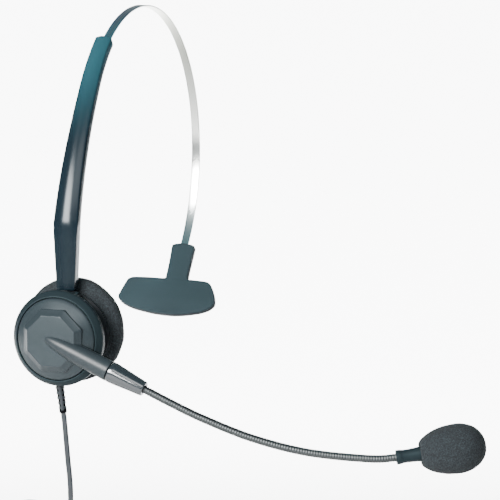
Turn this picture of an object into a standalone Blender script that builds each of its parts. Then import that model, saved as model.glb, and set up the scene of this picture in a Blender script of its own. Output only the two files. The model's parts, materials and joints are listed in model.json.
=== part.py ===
"""Monaural office headset: spring band with a T-bar, sliding arm, ear cup, rotating gooseneck boom and lead.

Frame, in metres: the origin is the underside of the band at the crown of the head, +Z is up, the wearer
faces -Y, the ear cup is on the wearer's right at -X and the T-bar rests on the other side at +X.
"""

import math

import bmesh
import bpy
import numpy as np
from mathutils import Matrix, Vector

MM = 0.001
GAP = 0.3 * MM  # between pieces that touch
PLAY = 0.35 * MM  # around a screw, a strip or a tube in its hole
RUNNING_FIT = 0.1 * MM  # around a pin or a stem that turns

# Band: a spring-steel strip on one circle, whose centre is LOOP_RADIUS under the origin.
LOOP_RADIUS = 75.0 * MM
BAND_THICKNESS = 0.7 * MM
BAND_WIDTH = 4.2 * MM
BAND_TAIL_DEG = 145.0  # end of the strip inside the arm, counted from +X over the crown
T_ENTRY_DEG = -38.5  # where the strip enters the T-bar
T_SOCKET_DEG = 6.0  # how far it goes in

# T-bar: a neck and a boat-shaped pad in the plane that touches the circle where the strip enters.
T_NECK_TOP = 1.6 * MM
T_NECK_WIDTH = 11.2 * MM
T_PAD_TOP = 22.0 * MM
T_PAD_BOTTOM = 42.2 * MM
T_PAD_HALF_WIDTH = 25.6 * MM
T_PAD_SHIFT = 1.0 * MM
T_CARRIER_THICKNESS = 1.5 * MM
T_NECK_BACK = 2.2 * MM
T_CARRIER_FACE = 1.7 * MM
T_SKIN_THICKNESS = 1.4 * MM
RIVET_RADIUS = 0.6 * MM
RIVET_HEAD_RADIUS = 1.4 * MM
RIVET_HEAD_HEIGHT = 0.7 * MM
RIVET_DISTANCE = 4.6 * MM

# Arm: a crowned two-piece sleeve. It follows the band's circle, then runs to a knee and straight down.
ARM_MOUTH_DEG = 125.5
ARM_ARC_END_DEG = 146.0
ARM_THICKNESS = 5.8 * MM
ARM_WALL = 1.2 * MM
ARM_COVER_THICKNESS = 0.7 * MM
ARM_BAND_OFFSET = 1.4 * MM  # the band runs this far inside the sleeve's middle
ARM_KNEE = Vector((-92.4 * MM, 0, -92.7 * MM))
ARM_KNEE_DEG = 14.0  # lean of the sleeve where it reaches the knee
ARM_BOTTOM_Z = -123.3 * MM
ARM_TOP_WIDTH = 7.8 * MM
ARM_KNEE_WIDTH = 12.0 * MM
ARM_BOTTOM_WIDTH = 8.8 * MM
ARM_CROWN = 1.7 * MM
ARM_FLAT_CROWN = 1.1 * MM
ARM_END_WALL = 2.0 * MM
ARM_FOOT_WALL = 3.6 * MM
SLIDER_LENGTH_DEG = 3.5
SLIDER_WIDTH = 4.8 * MM
SPRING_LENGTH_DEG = 4.0
SPRING_THICKNESS = 0.35 * MM
SPRING_WIDTH = 4.0 * MM
SCREW_RADIUS = 0.6 * MM
SCREW_HEAD_RADIUS = 1.3 * MM
SCREW_HEAD_HEIGHT = 0.7 * MM
SCREW_LENGTH = 3.0 * MM
BOSS_RADIUS = 1.6 * MM
SCREW_STATIONS = (0.42, 0.84)  # shares of the sleeve's length from its mouth

# Yoke: a stem that swivels in the arm's foot, and a block that carries the cup's tilt pin.
SWIVEL_OFFSET = 0.25 * MM  # the stem stands this far inside the sleeve's middle
STEM_RADIUS = 1.2 * MM
STEM_HEIGHT = 10.5 * MM
STEM_GROOVE_RADIUS = 0.8 * MM
STEM_GROOVE_HEIGHT = 1.0 * MM
CLIP_THICKNESS = 0.6 * MM
CLIP_SIZE = (2.8 * MM, 6.0 * MM)
YOKE_WIDTH = 9.0 * MM
YOKE_HEIGHT = 3.2 * MM
YOKE_INNER_X = -90.9 * MM
YOKE_OUTER_X = -96.4 * MM
TILT_PIN_X = -94.4 * MM
TILT_PIN_DROP = 2.1 * MM  # below the arm's foot
TILT_PIN_RADIUS = 0.75 * MM
TILT_PIN_LENGTH = 13.8 * MM
LUG_THICKNESS = 1.7 * MM
LUG_RADIUS = 1.8 * MM

# Ear cup: turned about a level axis along X. Depths count outwards from the head's middle plane.
CUP_Z = -144.0 * MM
CUSHION_RADIUS = 25.0 * MM
CUSHION_HOLE_RADIUS = 8.5 * MM
CUSHION_DEPTHS = (79.8 * MM, 88.0 * MM)
BAFFLE_RADIUS = 19.0 * MM
BAFFLE_THICKNESS = 1.6 * MM
BAFFLE_HOLE_RADIUS = 0.9 * MM
BAFFLE_HOLE_RING = 3.6 * MM
BAFFLE_SCREW_RING = 13.4 * MM
BAFFLE_SCREW_LENGTH = 4.6 * MM
BAFFLE_BOSS_LENGTH = 6.2 * MM
SHELL_RADIUS = 16.0 * MM
SHELL_WALL = 1.5 * MM
RIM_RADIUS = 21.9 * MM
RIM_BACK_DEPTH = 98.2 * MM
RIM_BEVEL_DEPTH = 103.4 * MM
RIM_FRONT_DEPTH = 106.0 * MM
RIM_LIP = 0.4 * MM
WEB_DEPTH = 100.0 * MM
WEB_THICKNESS = 1.5 * MM
PLATE_RADIUS = 18.8 * MM
SPINDLE_RADIUS = 4.0 * MM

# Speaker, as depths inside the shell.
SPEAKER_RADIUS = 11.7 * MM
MAGNET_RADIUS = 6.4 * MM
MAGNET_DEPTHS = (92.6 * MM, 96.6 * MM)

# Front plate: a shallow dome with a raised octagon, turning on the web with the boom.
DOME_DEPTH = 109.6 * MM
DOME_TOP_RADIUS = 13.2 * MM
OCTAGON_BASE = 28.3 * MM  # across its flats
OCTAGON_TOP = 23.2 * MM
OCTAGON_DEPTH = 112.0 * MM

# Boom: leaves the plate across the octagon, forwards and down.
BOOM_PITCH_DEG = 23.4
BOOM_DEPTH = 110.5 * MM
TORPEDO_TAIL = 4.4 * MM
TORPEDO_LENGTH = 30.4 * MM
TORPEDO_RADIUS = 4.8 * MM
COLLAR_LENGTH = 18.0 * MM
COLLAR_END_RADIUS = 3.4 * MM
NECK_RADIUS = 1.8 * MM
NECK_SOCKET = 5.0 * MM
BEND_GAP = 0.5 * MM
BENDS_AT = (0.40, 0.78)  # shares of the free gooseneck
NECK_POINTS = (
    (-109.9, -58.5, -169.5),
    (-108.6, -71.0, -174.9),
    (-105.2, -93.0, -183.0),
    (-99.6, -117.5, -189.0),
    (-92.0, -144.0, -191.6),
    (-87.6, -155.1, -191.1),
)  # millimetres, after the collar's mouth

# Microphone: its boot, capsule and windscreen share an axis that leans up and in, towards the mouth.
MIC_YAW_DEG = 22.4
MIC_PITCH_DEG = 8.0
BOOT_RADIUS = 3.1 * MM
BOOT_WAIST_RADIUS = 2.7 * MM
BOOT_LENGTH = 20.0 * MM
CAPSULE_RADIUS = 2.15 * MM
FOAM_START = 10.8 * MM
FOAM_LENGTH = 29.6 * MM
FOAM_RADIUS = 11.0 * MM
FOAM_WIDEST = 0.56
FOAM_LIP_RADIUS = 4.8 * MM

# Lead: out of the shell's underside through a strain relief, then hanging to a tied coil and a plug.
CORD_DIAMETER = 2.6 * MM
RELIEF_DEPTH = 95.2 * MM
RELIEF_Y = 4.0 * MM
RELIEF_LEAN_DEG = 7.6
RELIEF_START = 14.0 * MM  # from the cup's axis
RELIEF_LENGTH = 21.6 * MM
RELIEF_RADII = (2.25 * MM, 1.8 * MM)
CORD_POINTS = (
    (-95.2, 0.2, -188.0),
    (-95.2, -0.9, -201.0),
    (-95.2, -2.1, -216.0),
    (-95.2, -2.4, -231.9),
)  # millimetres, after the strain relief
COIL_CENTRE = Vector((-95.2 * MM, 17.1 * MM, -242.5 * MM))
COIL_RADIUS = 15.6 * MM
COIL_HALF_DEPTH = 5.3 * MM  # four layers of turns
COIL_HALF_WIDTH = 2.8 * MM  # two turns side by side
COIL_CHAMFER = 1.0 * MM
TIE_DEG = 118.0
TIE_WALL = 0.8 * MM
TIE_WIDTH = 4.0 * MM
TAIL_POINTS = (
    (-95.2, 21.5, -265.2),
    (-95.2, 26.3, -267.8),
    (-95.2, 29.2, -272.2),
    (-95.2, 29.8, -277.0),
)
PLUG_BOOT_LENGTH = 9.0 * MM
PLUG_SIZE = (8.0 * MM, 11.0 * MM, 26.0 * MM)
PLUG_POCKET = (3.6 * MM, 6.2 * MM, 9.0 * MM)
PLUG_ROUNDING = 1.1 * MM

LOOP_CENTRE = Vector((0, 0, -LOOP_RADIUS))
BAND_MID_RADIUS = LOOP_RADIUS + BAND_THICKNESS / 2
ARM_MID_RADIUS = BAND_MID_RADIUS + ARM_BAND_OFFSET
ARM_HALF = ARM_THICKNESS / 2
ARM_ROOF = ARM_HALF - ARM_WALL
ARM_COVER_TOP = -ARM_HALF + ARM_COVER_THICKNESS
SWIVEL_X = ARM_KNEE.x + SWIVEL_OFFSET
YOKE_TOP_Z = ARM_BOTTOM_Z - 0.4 * MM
TILT_PIN_Z = ARM_BOTTOM_Z - TILT_PIN_DROP
BAFFLE_DEPTH = CUSHION_DEPTHS[1] + GAP
SHELL_BACK_DEPTH = BAFFLE_DEPTH + BAFFLE_THICKNESS + GAP
PLATE_BACK_DEPTH = WEB_DEPTH + WEB_THICKNESS + GAP


# ---------------------------------------------------------------- scene, finishes and frames


def clear_scene():
    for old in list(bpy.data.objects):
        bpy.data.objects.remove(old)


def new_collection(name):
    collection = bpy.data.collections.new(name)
    bpy.context.scene.collection.children.link(collection)
    return collection


clear_scene()
PARTS = new_collection("office_headset")
CUTTERS = new_collection("cutters")


def finish(name, colour, roughness, metallic=0.0):
    material = bpy.data.materials.new(name)
    material.use_nodes = True
    shader = material.node_tree.nodes["Principled BSDF"]
    shader.inputs["Base Color"].default_value = (*colour, 1)
    shader.inputs["Roughness"].default_value = roughness
    shader.inputs["Metallic"].default_value = metallic
    return material


STEEL = finish("polished_steel", (0.75, 0.76, 0.74), 0.15, 1.0)
PLASTIC = finish("blue_grey_plastic", (0.035, 0.06, 0.075), 0.35)
HUB_PLASTIC = finish("satin_grey_plastic", (0.06, 0.08, 0.09), 0.45)
SOFT = finish("soft_rubber", (0.05, 0.085, 0.095), 0.75)
FOAM = finish("black_foam", (0.02, 0.025, 0.03), 0.95)
NECK_METAL = finish("ribbed_metal", (0.2, 0.22, 0.22), 0.4, 0.8)
CORD_RUBBER = finish("cord_jacket", (0.08, 0.09, 0.1), 0.5)
BOARD = finish("circuit_board", (0.03, 0.12, 0.06), 0.5)
BRASS = finish("contact_brass", (0.7, 0.5, 0.2), 0.3, 1.0)
PAPER = finish("diaphragm_film", (0.5, 0.5, 0.45), 0.6)


def frame_at(origin, along, side):
    """Matrix whose Z runs along and whose X is side, made square to it."""
    z = Vector(along).normalized()
    x = Vector(side)
    x = (x - x.dot(z) * z).normalized()
    y = z.cross(x)
    matrix = Matrix((x, y, z)).transposed().to_4x4()
    matrix.translation = origin
    return matrix


def empty_at(name, origin, parent=None):
    empty = bpy.data.objects.new(name, None)
    PARTS.objects.link(empty)
    empty.matrix_world = Matrix.Translation(origin)
    keep_place(empty, parent)
    return empty


def keep_place(obj, parent):
    """Parent an object and leave it where it stands."""
    if parent is None:
        return
    place = obj.matrix_world.copy()
    bpy.context.view_layer.update()
    obj.parent = parent
    obj.matrix_parent_inverse = parent.matrix_world.inverted()
    obj.matrix_world = place


def add_object(name, mesh, matrix, material=None, parent=None):
    """A piece with a finish, or a hidden cutter when it has none."""
    obj = bpy.data.objects.new(name, mesh)
    (PARTS if material else CUTTERS).objects.link(obj)
    obj.matrix_world = matrix
    if material:
        mesh.materials.append(material)
        keep_place(obj, parent)
    else:
        obj.hide_render = True
        obj.display_type = "WIRE"
    return obj


# ---------------------------------------------------------------- shapes


def turned(name, profile, matrix, material=None, parent=None, steps=32, closed=False):
    """Turn a profile of (radius, height) points, which runs down its outer side, about local Z."""
    mesh = bpy.data.meshes.new(name)
    points = [(radius, 0, height) for radius, height in profile]
    edges = [(i, i + 1) for i in range(len(points) - 1)]
    if closed:
        edges.append((len(points) - 1, 0))
    mesh.from_pydata(points, edges, [])
    obj = add_object(name, mesh, matrix, material, parent)
    screw = obj.modifiers.new("turn", "SCREW")
    screw.axis = "Z"
    screw.angle = math.tau
    screw.steps = steps
    screw.render_steps = steps
    screw.use_merge_vertices = True
    screw.merge_threshold = 0.000001
    screw.use_smooth_shade = True
    return obj


def rod(name, radius, bottom, top, matrix, material=None, parent=None, steps=24):
    profile = [(0, top), (radius, top), (radius, bottom), (0, bottom)]
    return turned(name, profile, matrix, material, parent, steps)


def block(name, size, matrix, material=None, parent=None, bevel=0.0):
    mesh = bpy.data.meshes.new(name)
    shape = bmesh.new()
    bmesh.ops.create_cube(shape, size=1.0)
    bmesh.ops.scale(shape, vec=size, verts=shape.verts)
    shape.to_mesh(mesh)
    shape.free()
    obj = add_object(name, mesh, matrix, material, parent)
    if bevel:
        add_bevel(obj, bevel)
    return obj


def add_bevel(obj, width, segments=2):
    bevel = obj.modifiers.new("rounded_edges", "BEVEL")
    bevel.width = width
    bevel.segments = segments
    bevel.limit_method = "ANGLE"
    bevel.angle_limit = math.radians(40)


def curve_to_mesh(name, curve):
    """Mesh of a filled curve, with its caps welded to its sides."""
    holder = bpy.data.objects.new(name + "_curve", curve)
    PARTS.objects.link(holder)
    bpy.context.view_layer.update()
    graph = bpy.context.evaluated_depsgraph_get()
    mesh = bpy.data.meshes.new_from_object(holder.evaluated_get(graph))
    bpy.data.objects.remove(holder)
    mesh.name = name
    mesh.materials.clear()
    shape = bmesh.new()
    shape.from_mesh(mesh)
    bmesh.ops.remove_doubles(shape, verts=shape.verts, dist=0.000002)
    shape.to_mesh(mesh)
    shape.free()
    return mesh


def plate(name, outlines, thickness, matrix, material=None, parent=None):
    """Flat piece from an outline, and any holes after it, with its thickness centred on local XY."""
    curve = bpy.data.curves.new(name, "CURVE")
    curve.dimensions = "2D"
    curve.fill_mode = "BOTH"
    curve.extrude = thickness / 2
    for outline in outlines:
        spline = curve.splines.new("POLY")
        spline.points.add(len(outline) - 1)
        for point, (x, y) in zip(spline.points, outline):
            point.co = (x, y, 0, 1)
        spline.use_cyclic_u = True
    return add_object(name, curve_to_mesh(name, curve), matrix, material, parent)


def tube(name, points, radius, material, parent):
    """Round tube through world points, with closed ends."""
    curve = bpy.data.curves.new(name, "CURVE")
    curve.dimensions = "3D"
    curve.bevel_depth = radius
    curve.bevel_resolution = 2
    curve.use_fill_caps = True
    spline = curve.splines.new("POLY")
    spline.points.add(len(points) - 1)
    for point, place in zip(spline.points, points):
        point.co = (*place, 1)
    return add_object(name, curve_to_mesh(name, curve), Matrix.Identity(4), material, parent)


def loft(name, rings, material=None, parent=None):
    """Closed skin over rings of the same number of world points."""
    mesh = bpy.data.meshes.new(name)
    shape = bmesh.new()
    loops = [[shape.verts.new(point) for point in ring] for ring in rings]
    for first, second in zip(loops, loops[1:]):
        for i, corner in enumerate(first):
            after = (i + 1) % len(first)
            shape.faces.new((corner, first[after], second[after], second[i]))
    shape.faces.new(loops[0])
    shape.faces.new(loops[-1])
    bmesh.ops.recalc_face_normals(shape, faces=shape.faces)
    shape.to_mesh(mesh)
    shape.free()
    return add_object(name, mesh, Matrix.Identity(4), material, parent)


def combine(obj, tool, operation):
    """Boolean of a piece with a hidden tool."""
    boolean = obj.modifiers.new(tool.name, "BOOLEAN")
    boolean.operation = operation
    boolean.object = tool


def cut(obj, tool):
    combine(obj, tool, "DIFFERENCE")


def join(obj, tool):
    combine(obj, tool, "UNION")


def circle(radius, steps, centre=(0.0, 0.0), phase=0.0):
    turns = [phase + math.tau * i / steps for i in range(steps)]
    return [(centre[0] + radius * math.cos(t), centre[1] + radius * math.sin(t)) for t in turns]


def smooth_route(points, spacing):
    """Points at an even spacing on a smooth curve through the given ones."""
    knots = [Vector(p) for p in points]
    knots = [2 * knots[0] - knots[1], *knots, 2 * knots[-1] - knots[-2]]
    fine = []
    steps = 24
    for a, b, c, d in zip(knots, knots[1:], knots[2:], knots[3:]):
        for i in range(steps):
            t = i / steps
            fine.append(
                0.5 * (2 * b + (c - a) * t + (2 * a - 5 * b + 4 * c - d) * t**2
                       + (3 * b - a - 3 * c + d) * t**3)
            )
    fine.append(knots[-2])
    lengths = np.cumsum([0] + [(q - p).length for p, q in zip(fine, fine[1:])])
    count = max(2, round(lengths[-1] / spacing) + 1)
    wanted = np.linspace(0, lengths[-1], count)
    axes = [np.interp(wanted, lengths, [p[k] for p in fine]) for k in range(3)]
    return [Vector(p) for p in zip(*axes)]


def holes_at(places, radius, steps):
    """Hole outlines, each turned a little further, so that no two have corners in line."""
    return [circle(radius, steps, place, 0.1 + 0.07 * n) for n, place in enumerate(places)]


def in_metres(points):
    return [Vector(p) * MM for p in points]


# ---------------------------------------------------------------- band


def on_loop(degrees, radius):
    angle = math.radians(degrees)
    return LOOP_CENTRE + Vector((math.cos(angle), 0, math.sin(angle))) * radius


SIDE_VIEW = frame_at(Vector(), (0, -1, 0), (1, 0, 0))  # outlines in X and Z, thickness along Y


def arc_strip(inner, outer, start, end, step=4.0):
    """Outline of a strip between two radii about the loop's centre, over a span of degrees."""
    count = max(2, math.ceil(abs(end - start) / step) + 1)
    sweep = np.linspace(start, end, count)
    points = [on_loop(d, outer) for d in sweep] + [on_loop(d, inner) for d in reversed(sweep)]
    return [(p.x, p.z) for p in points]


def radial_frame(degrees):
    """Frame on the band's middle, whose Z points away from the loop's centre."""
    out = on_loop(degrees, 1.0) - LOOP_CENTRE
    return frame_at(on_loop(degrees, BAND_MID_RADIUS), out, (0, 1, 0))


def make_band(body):
    outline = arc_strip(
        LOOP_RADIUS, LOOP_RADIUS + BAND_THICKNESS, T_ENTRY_DEG - T_SOCKET_DEG, BAND_TAIL_DEG
    )
    band = plate("band", [outline], BAND_WIDTH, SIDE_VIEW, STEEL, body)
    slider_mid = BAND_TAIL_DEG - SLIDER_LENGTH_DEG / 2
    peg_hole = rod("peg_hole", RIVET_RADIUS + PLAY, -1 * MM, 1 * MM, radial_frame(slider_mid), steps=16)
    cut(band, peg_hole)
    rivet_deg = T_ENTRY_DEG - math.degrees(RIVET_DISTANCE / BAND_MID_RADIUS)
    rivet_hole = rod("rivet_hole", RIVET_RADIUS + PLAY, -1 * MM, 1 * MM, radial_frame(rivet_deg), steps=16)
    cut(band, rivet_hole)
    make_slider(slider_mid, body)


def make_slider(middle_deg, body):
    """Plastic block on the band's end, with a peg down through it, that runs in the arm's channel."""
    bottom = LOOP_RADIUS + BAND_THICKNESS + GAP
    top = ARM_MID_RADIUS + ARM_ROOF - GAP
    outline = arc_strip(bottom, top, BAND_TAIL_DEG - SLIDER_LENGTH_DEG, BAND_TAIL_DEG, 1.75)
    slider = plate("band_slider", [outline], SLIDER_WIDTH, SIDE_VIEW, PLASTIC, body)
    peg = rod("slider_peg", RIVET_RADIUS, -BAND_THICKNESS / 2, 1.5 * MM, radial_frame(middle_deg), steps=16)
    join(slider, peg)


# ---------------------------------------------------------------- T-bar


def t_frame():
    """X is towards the wearer's back, Y runs down the neck and Z points at the head."""
    angle = math.radians(T_ENTRY_DEG)
    down = Vector((math.sin(angle), 0, -math.cos(angle)))
    head = Vector((-math.cos(angle), 0, -math.sin(angle)))
    matrix = Matrix((down.cross(head), down, head)).transposed().to_4x4()
    matrix.translation = on_loop(T_ENTRY_DEG, BAND_MID_RADIUS)
    return matrix


def t_outline(inset=0.0):
    """The T as seen from the head: a domed neck running into a boat-shaped pad."""
    half_neck = T_NECK_WIDTH / 2 - inset
    half_pad = T_PAD_HALF_WIDTH - inset
    top = T_PAD_TOP + inset
    bottom = T_PAD_BOTTOM - inset
    depth = bottom - top
    pad_side = [(0.80, 0.015), (0.915, 0.09), (0.955, 0.25), (1.0, 0.57), (0.965, 0.70), (0.85, 0.81)]
    arch = [(0.62, 0.90), (0.34, 0.97), (0.0, 1.0)]
    dome = [(math.cos(math.radians(d)), math.sin(math.radians(d))) for d in (20, 45, 70, 90)]
    right = [(half_neck * c, T_NECK_TOP + inset + 1.4 * MM * (1 - s)) for c, s in reversed(dome)]
    right += [(half_neck, top - 0.8 * MM), (half_neck + 0.8 * MM, top)]
    right += [(T_PAD_SHIFT + half_pad * u, top + depth * v) for u, v in pad_side + arch]
    left = [(-x + 2 * (T_PAD_SHIFT if y > top else 0), y) for x, y in reversed(right[1:-1])]
    return right + left


def shifted(matrix, distance):
    return matrix @ Matrix.Translation((0, 0, distance))


def make_t_bar(body):
    frame = t_frame()
    middle = T_CARRIER_FACE - T_CARRIER_THICKNESS / 2
    carrier = plate(
        "t_bar", [t_outline(0.4 * MM)], T_CARRIER_THICKNESS, shifted(frame, middle), PLASTIC, body
    )
    neck_front = T_CARRIER_FACE - 0.4 * MM
    neck_depth = neck_front + T_NECK_BACK
    neck_length = T_PAD_TOP + 3 * MM - T_NECK_TOP
    neck_middle = Vector((0, T_NECK_TOP + 1.6 * MM + neck_length / 2, (neck_front - T_NECK_BACK) / 2))
    neck = block(
        "t_neck", (T_NECK_WIDTH - 1.2 * MM, neck_length, neck_depth),
        frame @ Matrix.Translation(neck_middle), bevel=0.5 * MM,
    )
    join(carrier, neck)
    socket_length = math.radians(T_SOCKET_DEG) * BAND_MID_RADIUS + 1 * MM
    socket = block(
        "t_socket", (BAND_WIDTH + 2 * PLAY, 2 * socket_length, BAND_THICKNESS + 3 * PLAY),
        frame @ Matrix.Translation((0, 0, 0.2 * MM)),
    )
    cut(carrier, socket)
    pin = frame @ Matrix.Translation((0, RIVET_DISTANCE, 0))
    hole = rod("t_rivet_hole", RIVET_RADIUS + PLAY, -5 * MM, T_CARRIER_FACE + 1 * MM, pin, steps=16)
    cut(carrier, hole)
    skin_middle = T_CARRIER_FACE + GAP + T_SKIN_THICKNESS / 2
    skin = plate("t_bar_skin", [t_outline()], T_SKIN_THICKNESS, shifted(frame, skin_middle), SOFT, body)
    add_bevel(skin, 0.45 * MM)
    head_bottom = -T_NECK_BACK - GAP
    turned(
        "t_bar_rivet",
        [
            (0, T_CARRIER_FACE - 0.1 * MM),
            (RIVET_RADIUS, T_CARRIER_FACE - 0.1 * MM),
            (RIVET_RADIUS, head_bottom),
            (RIVET_HEAD_RADIUS, head_bottom),
            (RIVET_HEAD_RADIUS * 0.7, head_bottom - RIVET_HEAD_HEIGHT),
            (0, head_bottom - RIVET_HEAD_HEIGHT),
        ],
        pin, STEEL, body, steps=16,
    )


# ---------------------------------------------------------------- arm


def arm_stations():
    """(point, outward normal) down the sleeve's middle, and the station of the knee."""
    stations = []
    for degrees in np.linspace(ARM_MOUTH_DEG, ARM_ARC_END_DEG, 6):
        point = on_loop(degrees, ARM_MID_RADIUS)
        stations.append((point, (point - LOOP_CENTRE).normalized()))
    start = stations[-1][0]
    start_dir = Vector((stations[-1][1].z, 0, -stations[-1][1].x)) * -1
    lean = math.radians(ARM_KNEE_DEG)
    end_dir = Vector((-math.sin(lean), 0, -math.cos(lean)))
    reach = (ARM_KNEE - start).length
    first = start + start_dir * reach / 3
    second = ARM_KNEE - end_dir * reach / 3
    for t in np.linspace(0, 1, 8)[1:]:
        s = 1 - t
        point = start * s**3 + first * 3 * s**2 * t + second * 3 * s * t**2 + ARM_KNEE * t**3
        slope = (first - start) * s**2 + (second - first) * 2 * s * t + (ARM_KNEE - second) * t**2
        slope.normalize()
        stations.append((point, Vector((slope.z, 0, -slope.x))))
    knee = len(stations) - 1
    half_lean = lean / 2
    stations[knee] = (ARM_KNEE, Vector((-math.cos(half_lean), 0, math.sin(half_lean))))
    for z in np.linspace(ARM_KNEE.z, ARM_BOTTOM_Z, 5)[1:]:
        stations.append((Vector((ARM_KNEE.x, 0, z)), Vector((-1, 0, 0))))
    return stations, knee


def arm_lengths(stations):
    return np.cumsum([0] + [(b[0] - a[0]).length for a, b in zip(stations, stations[1:])])


STATIONS, KNEE_STATION = arm_stations()
LENGTHS = arm_lengths(STATIONS)
ARM_LENGTH = LENGTHS[-1]


def arm_place(length):
    """(point, outward normal) at a length from the mouth."""
    found = np.interp(length, LENGTHS, range(len(STATIONS)))
    low = min(int(found), len(STATIONS) - 2)
    part = found - low
    point = STATIONS[low][0].lerp(STATIONS[low + 1][0], part)
    normal = STATIONS[low][1].lerp(STATIONS[low + 1][1], part).normalized()
    return point, normal


def arm_width(length):
    marks = (0, LENGTHS[KNEE_STATION], ARM_LENGTH)
    widths = (ARM_TOP_WIDTH, ARM_KNEE_WIDTH, ARM_BOTTOM_WIDTH)
    return float(np.interp(length, marks, widths))


def arm_crown(length):
    knee = LENGTHS[KNEE_STATION]
    return float(np.interp(length, (knee - 1 * MM, knee + 6 * MM), (ARM_CROWN, ARM_FLAT_CROWN)))


def sleeve(name, section, start, end, material=None, parent=None):
    """Loft along the arm. section gives (across, outward) points for a length from the mouth."""
    inside = [length for length in LENGTHS if start + 0.5 * MM < length < end - 0.5 * MM]
    rings = []
    for length in [start, *inside, end]:
        point, normal = arm_place(length)
        rings.append([point + Vector((0, w, 0)) + normal * n for w, n in section(length)])
    return loft(name, rings, material, parent)


def crowned_section(length):
    half = arm_width(length) / 2
    crown = arm_crown(length)
    corner = 0.6 * MM
    turns = [math.radians(d) for d in range(0, 181, 20)]
    arch = [(half * math.cos(t), ARM_HALF - crown + crown * math.sin(t)) for t in turns]
    foot = [(-half, corner - ARM_HALF), (corner - half, -ARM_HALF)]
    foot += [(half - corner, -ARM_HALF), (half, corner - ARM_HALF)]
    return arch + foot


def box_section(bottom, top, side_gap):
    """Rectangle between two heights that keeps a distance to the sleeve's sides."""

    def section(length):
        half = arm_width(length) / 2 - side_gap
        return [(half, bottom), (half, top), (-half, top), (-half, bottom)]

    return section


def screw_frame(share):
    point, normal = arm_place(ARM_LENGTH * share)
    return frame_at(point, normal, (0, 1, 0))


def make_arm(body):
    shell = sleeve("arm_outer", crowned_section, 0, ARM_LENGTH, PLASTIC, body)
    roof = box_section(-ARM_HALF - 2 * MM, ARM_ROOF, ARM_WALL)
    cut(shell, sleeve("arm_channel", roof, ARM_END_WALL, ARM_LENGTH - ARM_FOOT_WALL))
    mouth = arc_strip(
        LOOP_RADIUS - PLAY, LOOP_RADIUS + BAND_THICKNESS + PLAY, ARM_MOUTH_DEG - 3, ARM_MOUTH_DEG + 3
    )
    cut(shell, plate("arm_mouth", [mouth], BAND_WIDTH + 2 * PLAY, SIDE_VIEW))
    foot = frame_at(Vector((SWIVEL_X, 0, ARM_BOTTOM_Z)), (0, 0, 1), (1, 0, 0))
    cut(shell, rod("arm_foot_hole", STEM_RADIUS + RUNNING_FIT, -1 * MM, ARM_FOOT_WALL + 1 * MM, foot))
    cover = sleeve(
        "arm_cover", box_section(-ARM_HALF, ARM_COVER_TOP, ARM_WALL + GAP),
        ARM_END_WALL + GAP, ARM_LENGTH - ARM_FOOT_WALL - GAP, PLASTIC, body,
    )
    for number, share in enumerate(SCREW_STATIONS, 1):
        make_arm_screw(number, screw_frame(share), shell, cover, body)
    make_spring(body)


def make_arm_screw(number, frame, shell, cover, body):
    join(shell, rod(f"arm_boss_{number}", BOSS_RADIUS, ARM_COVER_TOP + GAP, ARM_ROOF + 0.6 * MM, frame))
    pilot = rod(f"arm_pilot_{number}", SCREW_RADIUS + PLAY, -2 * ARM_HALF, ARM_ROOF - 0.2 * MM, frame)
    cut(shell, pilot)
    cut(cover, pilot)
    head = -ARM_HALF - GAP
    profile = [
        (0, head + SCREW_LENGTH),
        (SCREW_RADIUS, head + SCREW_LENGTH),
        (SCREW_RADIUS, head),
        (SCREW_HEAD_RADIUS, head),
        (SCREW_HEAD_RADIUS * 0.75, head - SCREW_HEAD_HEIGHT),
        (0, head - SCREW_HEAD_HEIGHT),
    ]
    turned(f"arm_screw_{number}", profile, frame, STEEL, body, steps=16)


def make_spring(body):
    """Bowed leaf at the mouth that presses on the band and holds the chosen size."""
    first = ARM_MOUTH_DEG + math.degrees((ARM_END_WALL + 0.5 * MM) / ARM_MID_RADIUS)
    low = LOOP_RADIUS + BAND_THICKNESS + GAP
    rise = ARM_MID_RADIUS + ARM_ROOF - GAP - SPRING_THICKNESS - low
    upper = []
    lower = []
    for t in np.linspace(0, 1, 9):
        degrees = first + SPRING_LENGTH_DEG * t
        radius = low + rise * (2 * t - 1) ** 2
        lower.append(on_loop(degrees, radius))
        upper.append(on_loop(degrees, radius + SPRING_THICKNESS))
    outline = [(p.x, p.z) for p in upper + lower[::-1]]
    plate("friction_spring", [outline], SPRING_WIDTH, SIDE_VIEW, STEEL, body)


# ---------------------------------------------------------------- yoke


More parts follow.
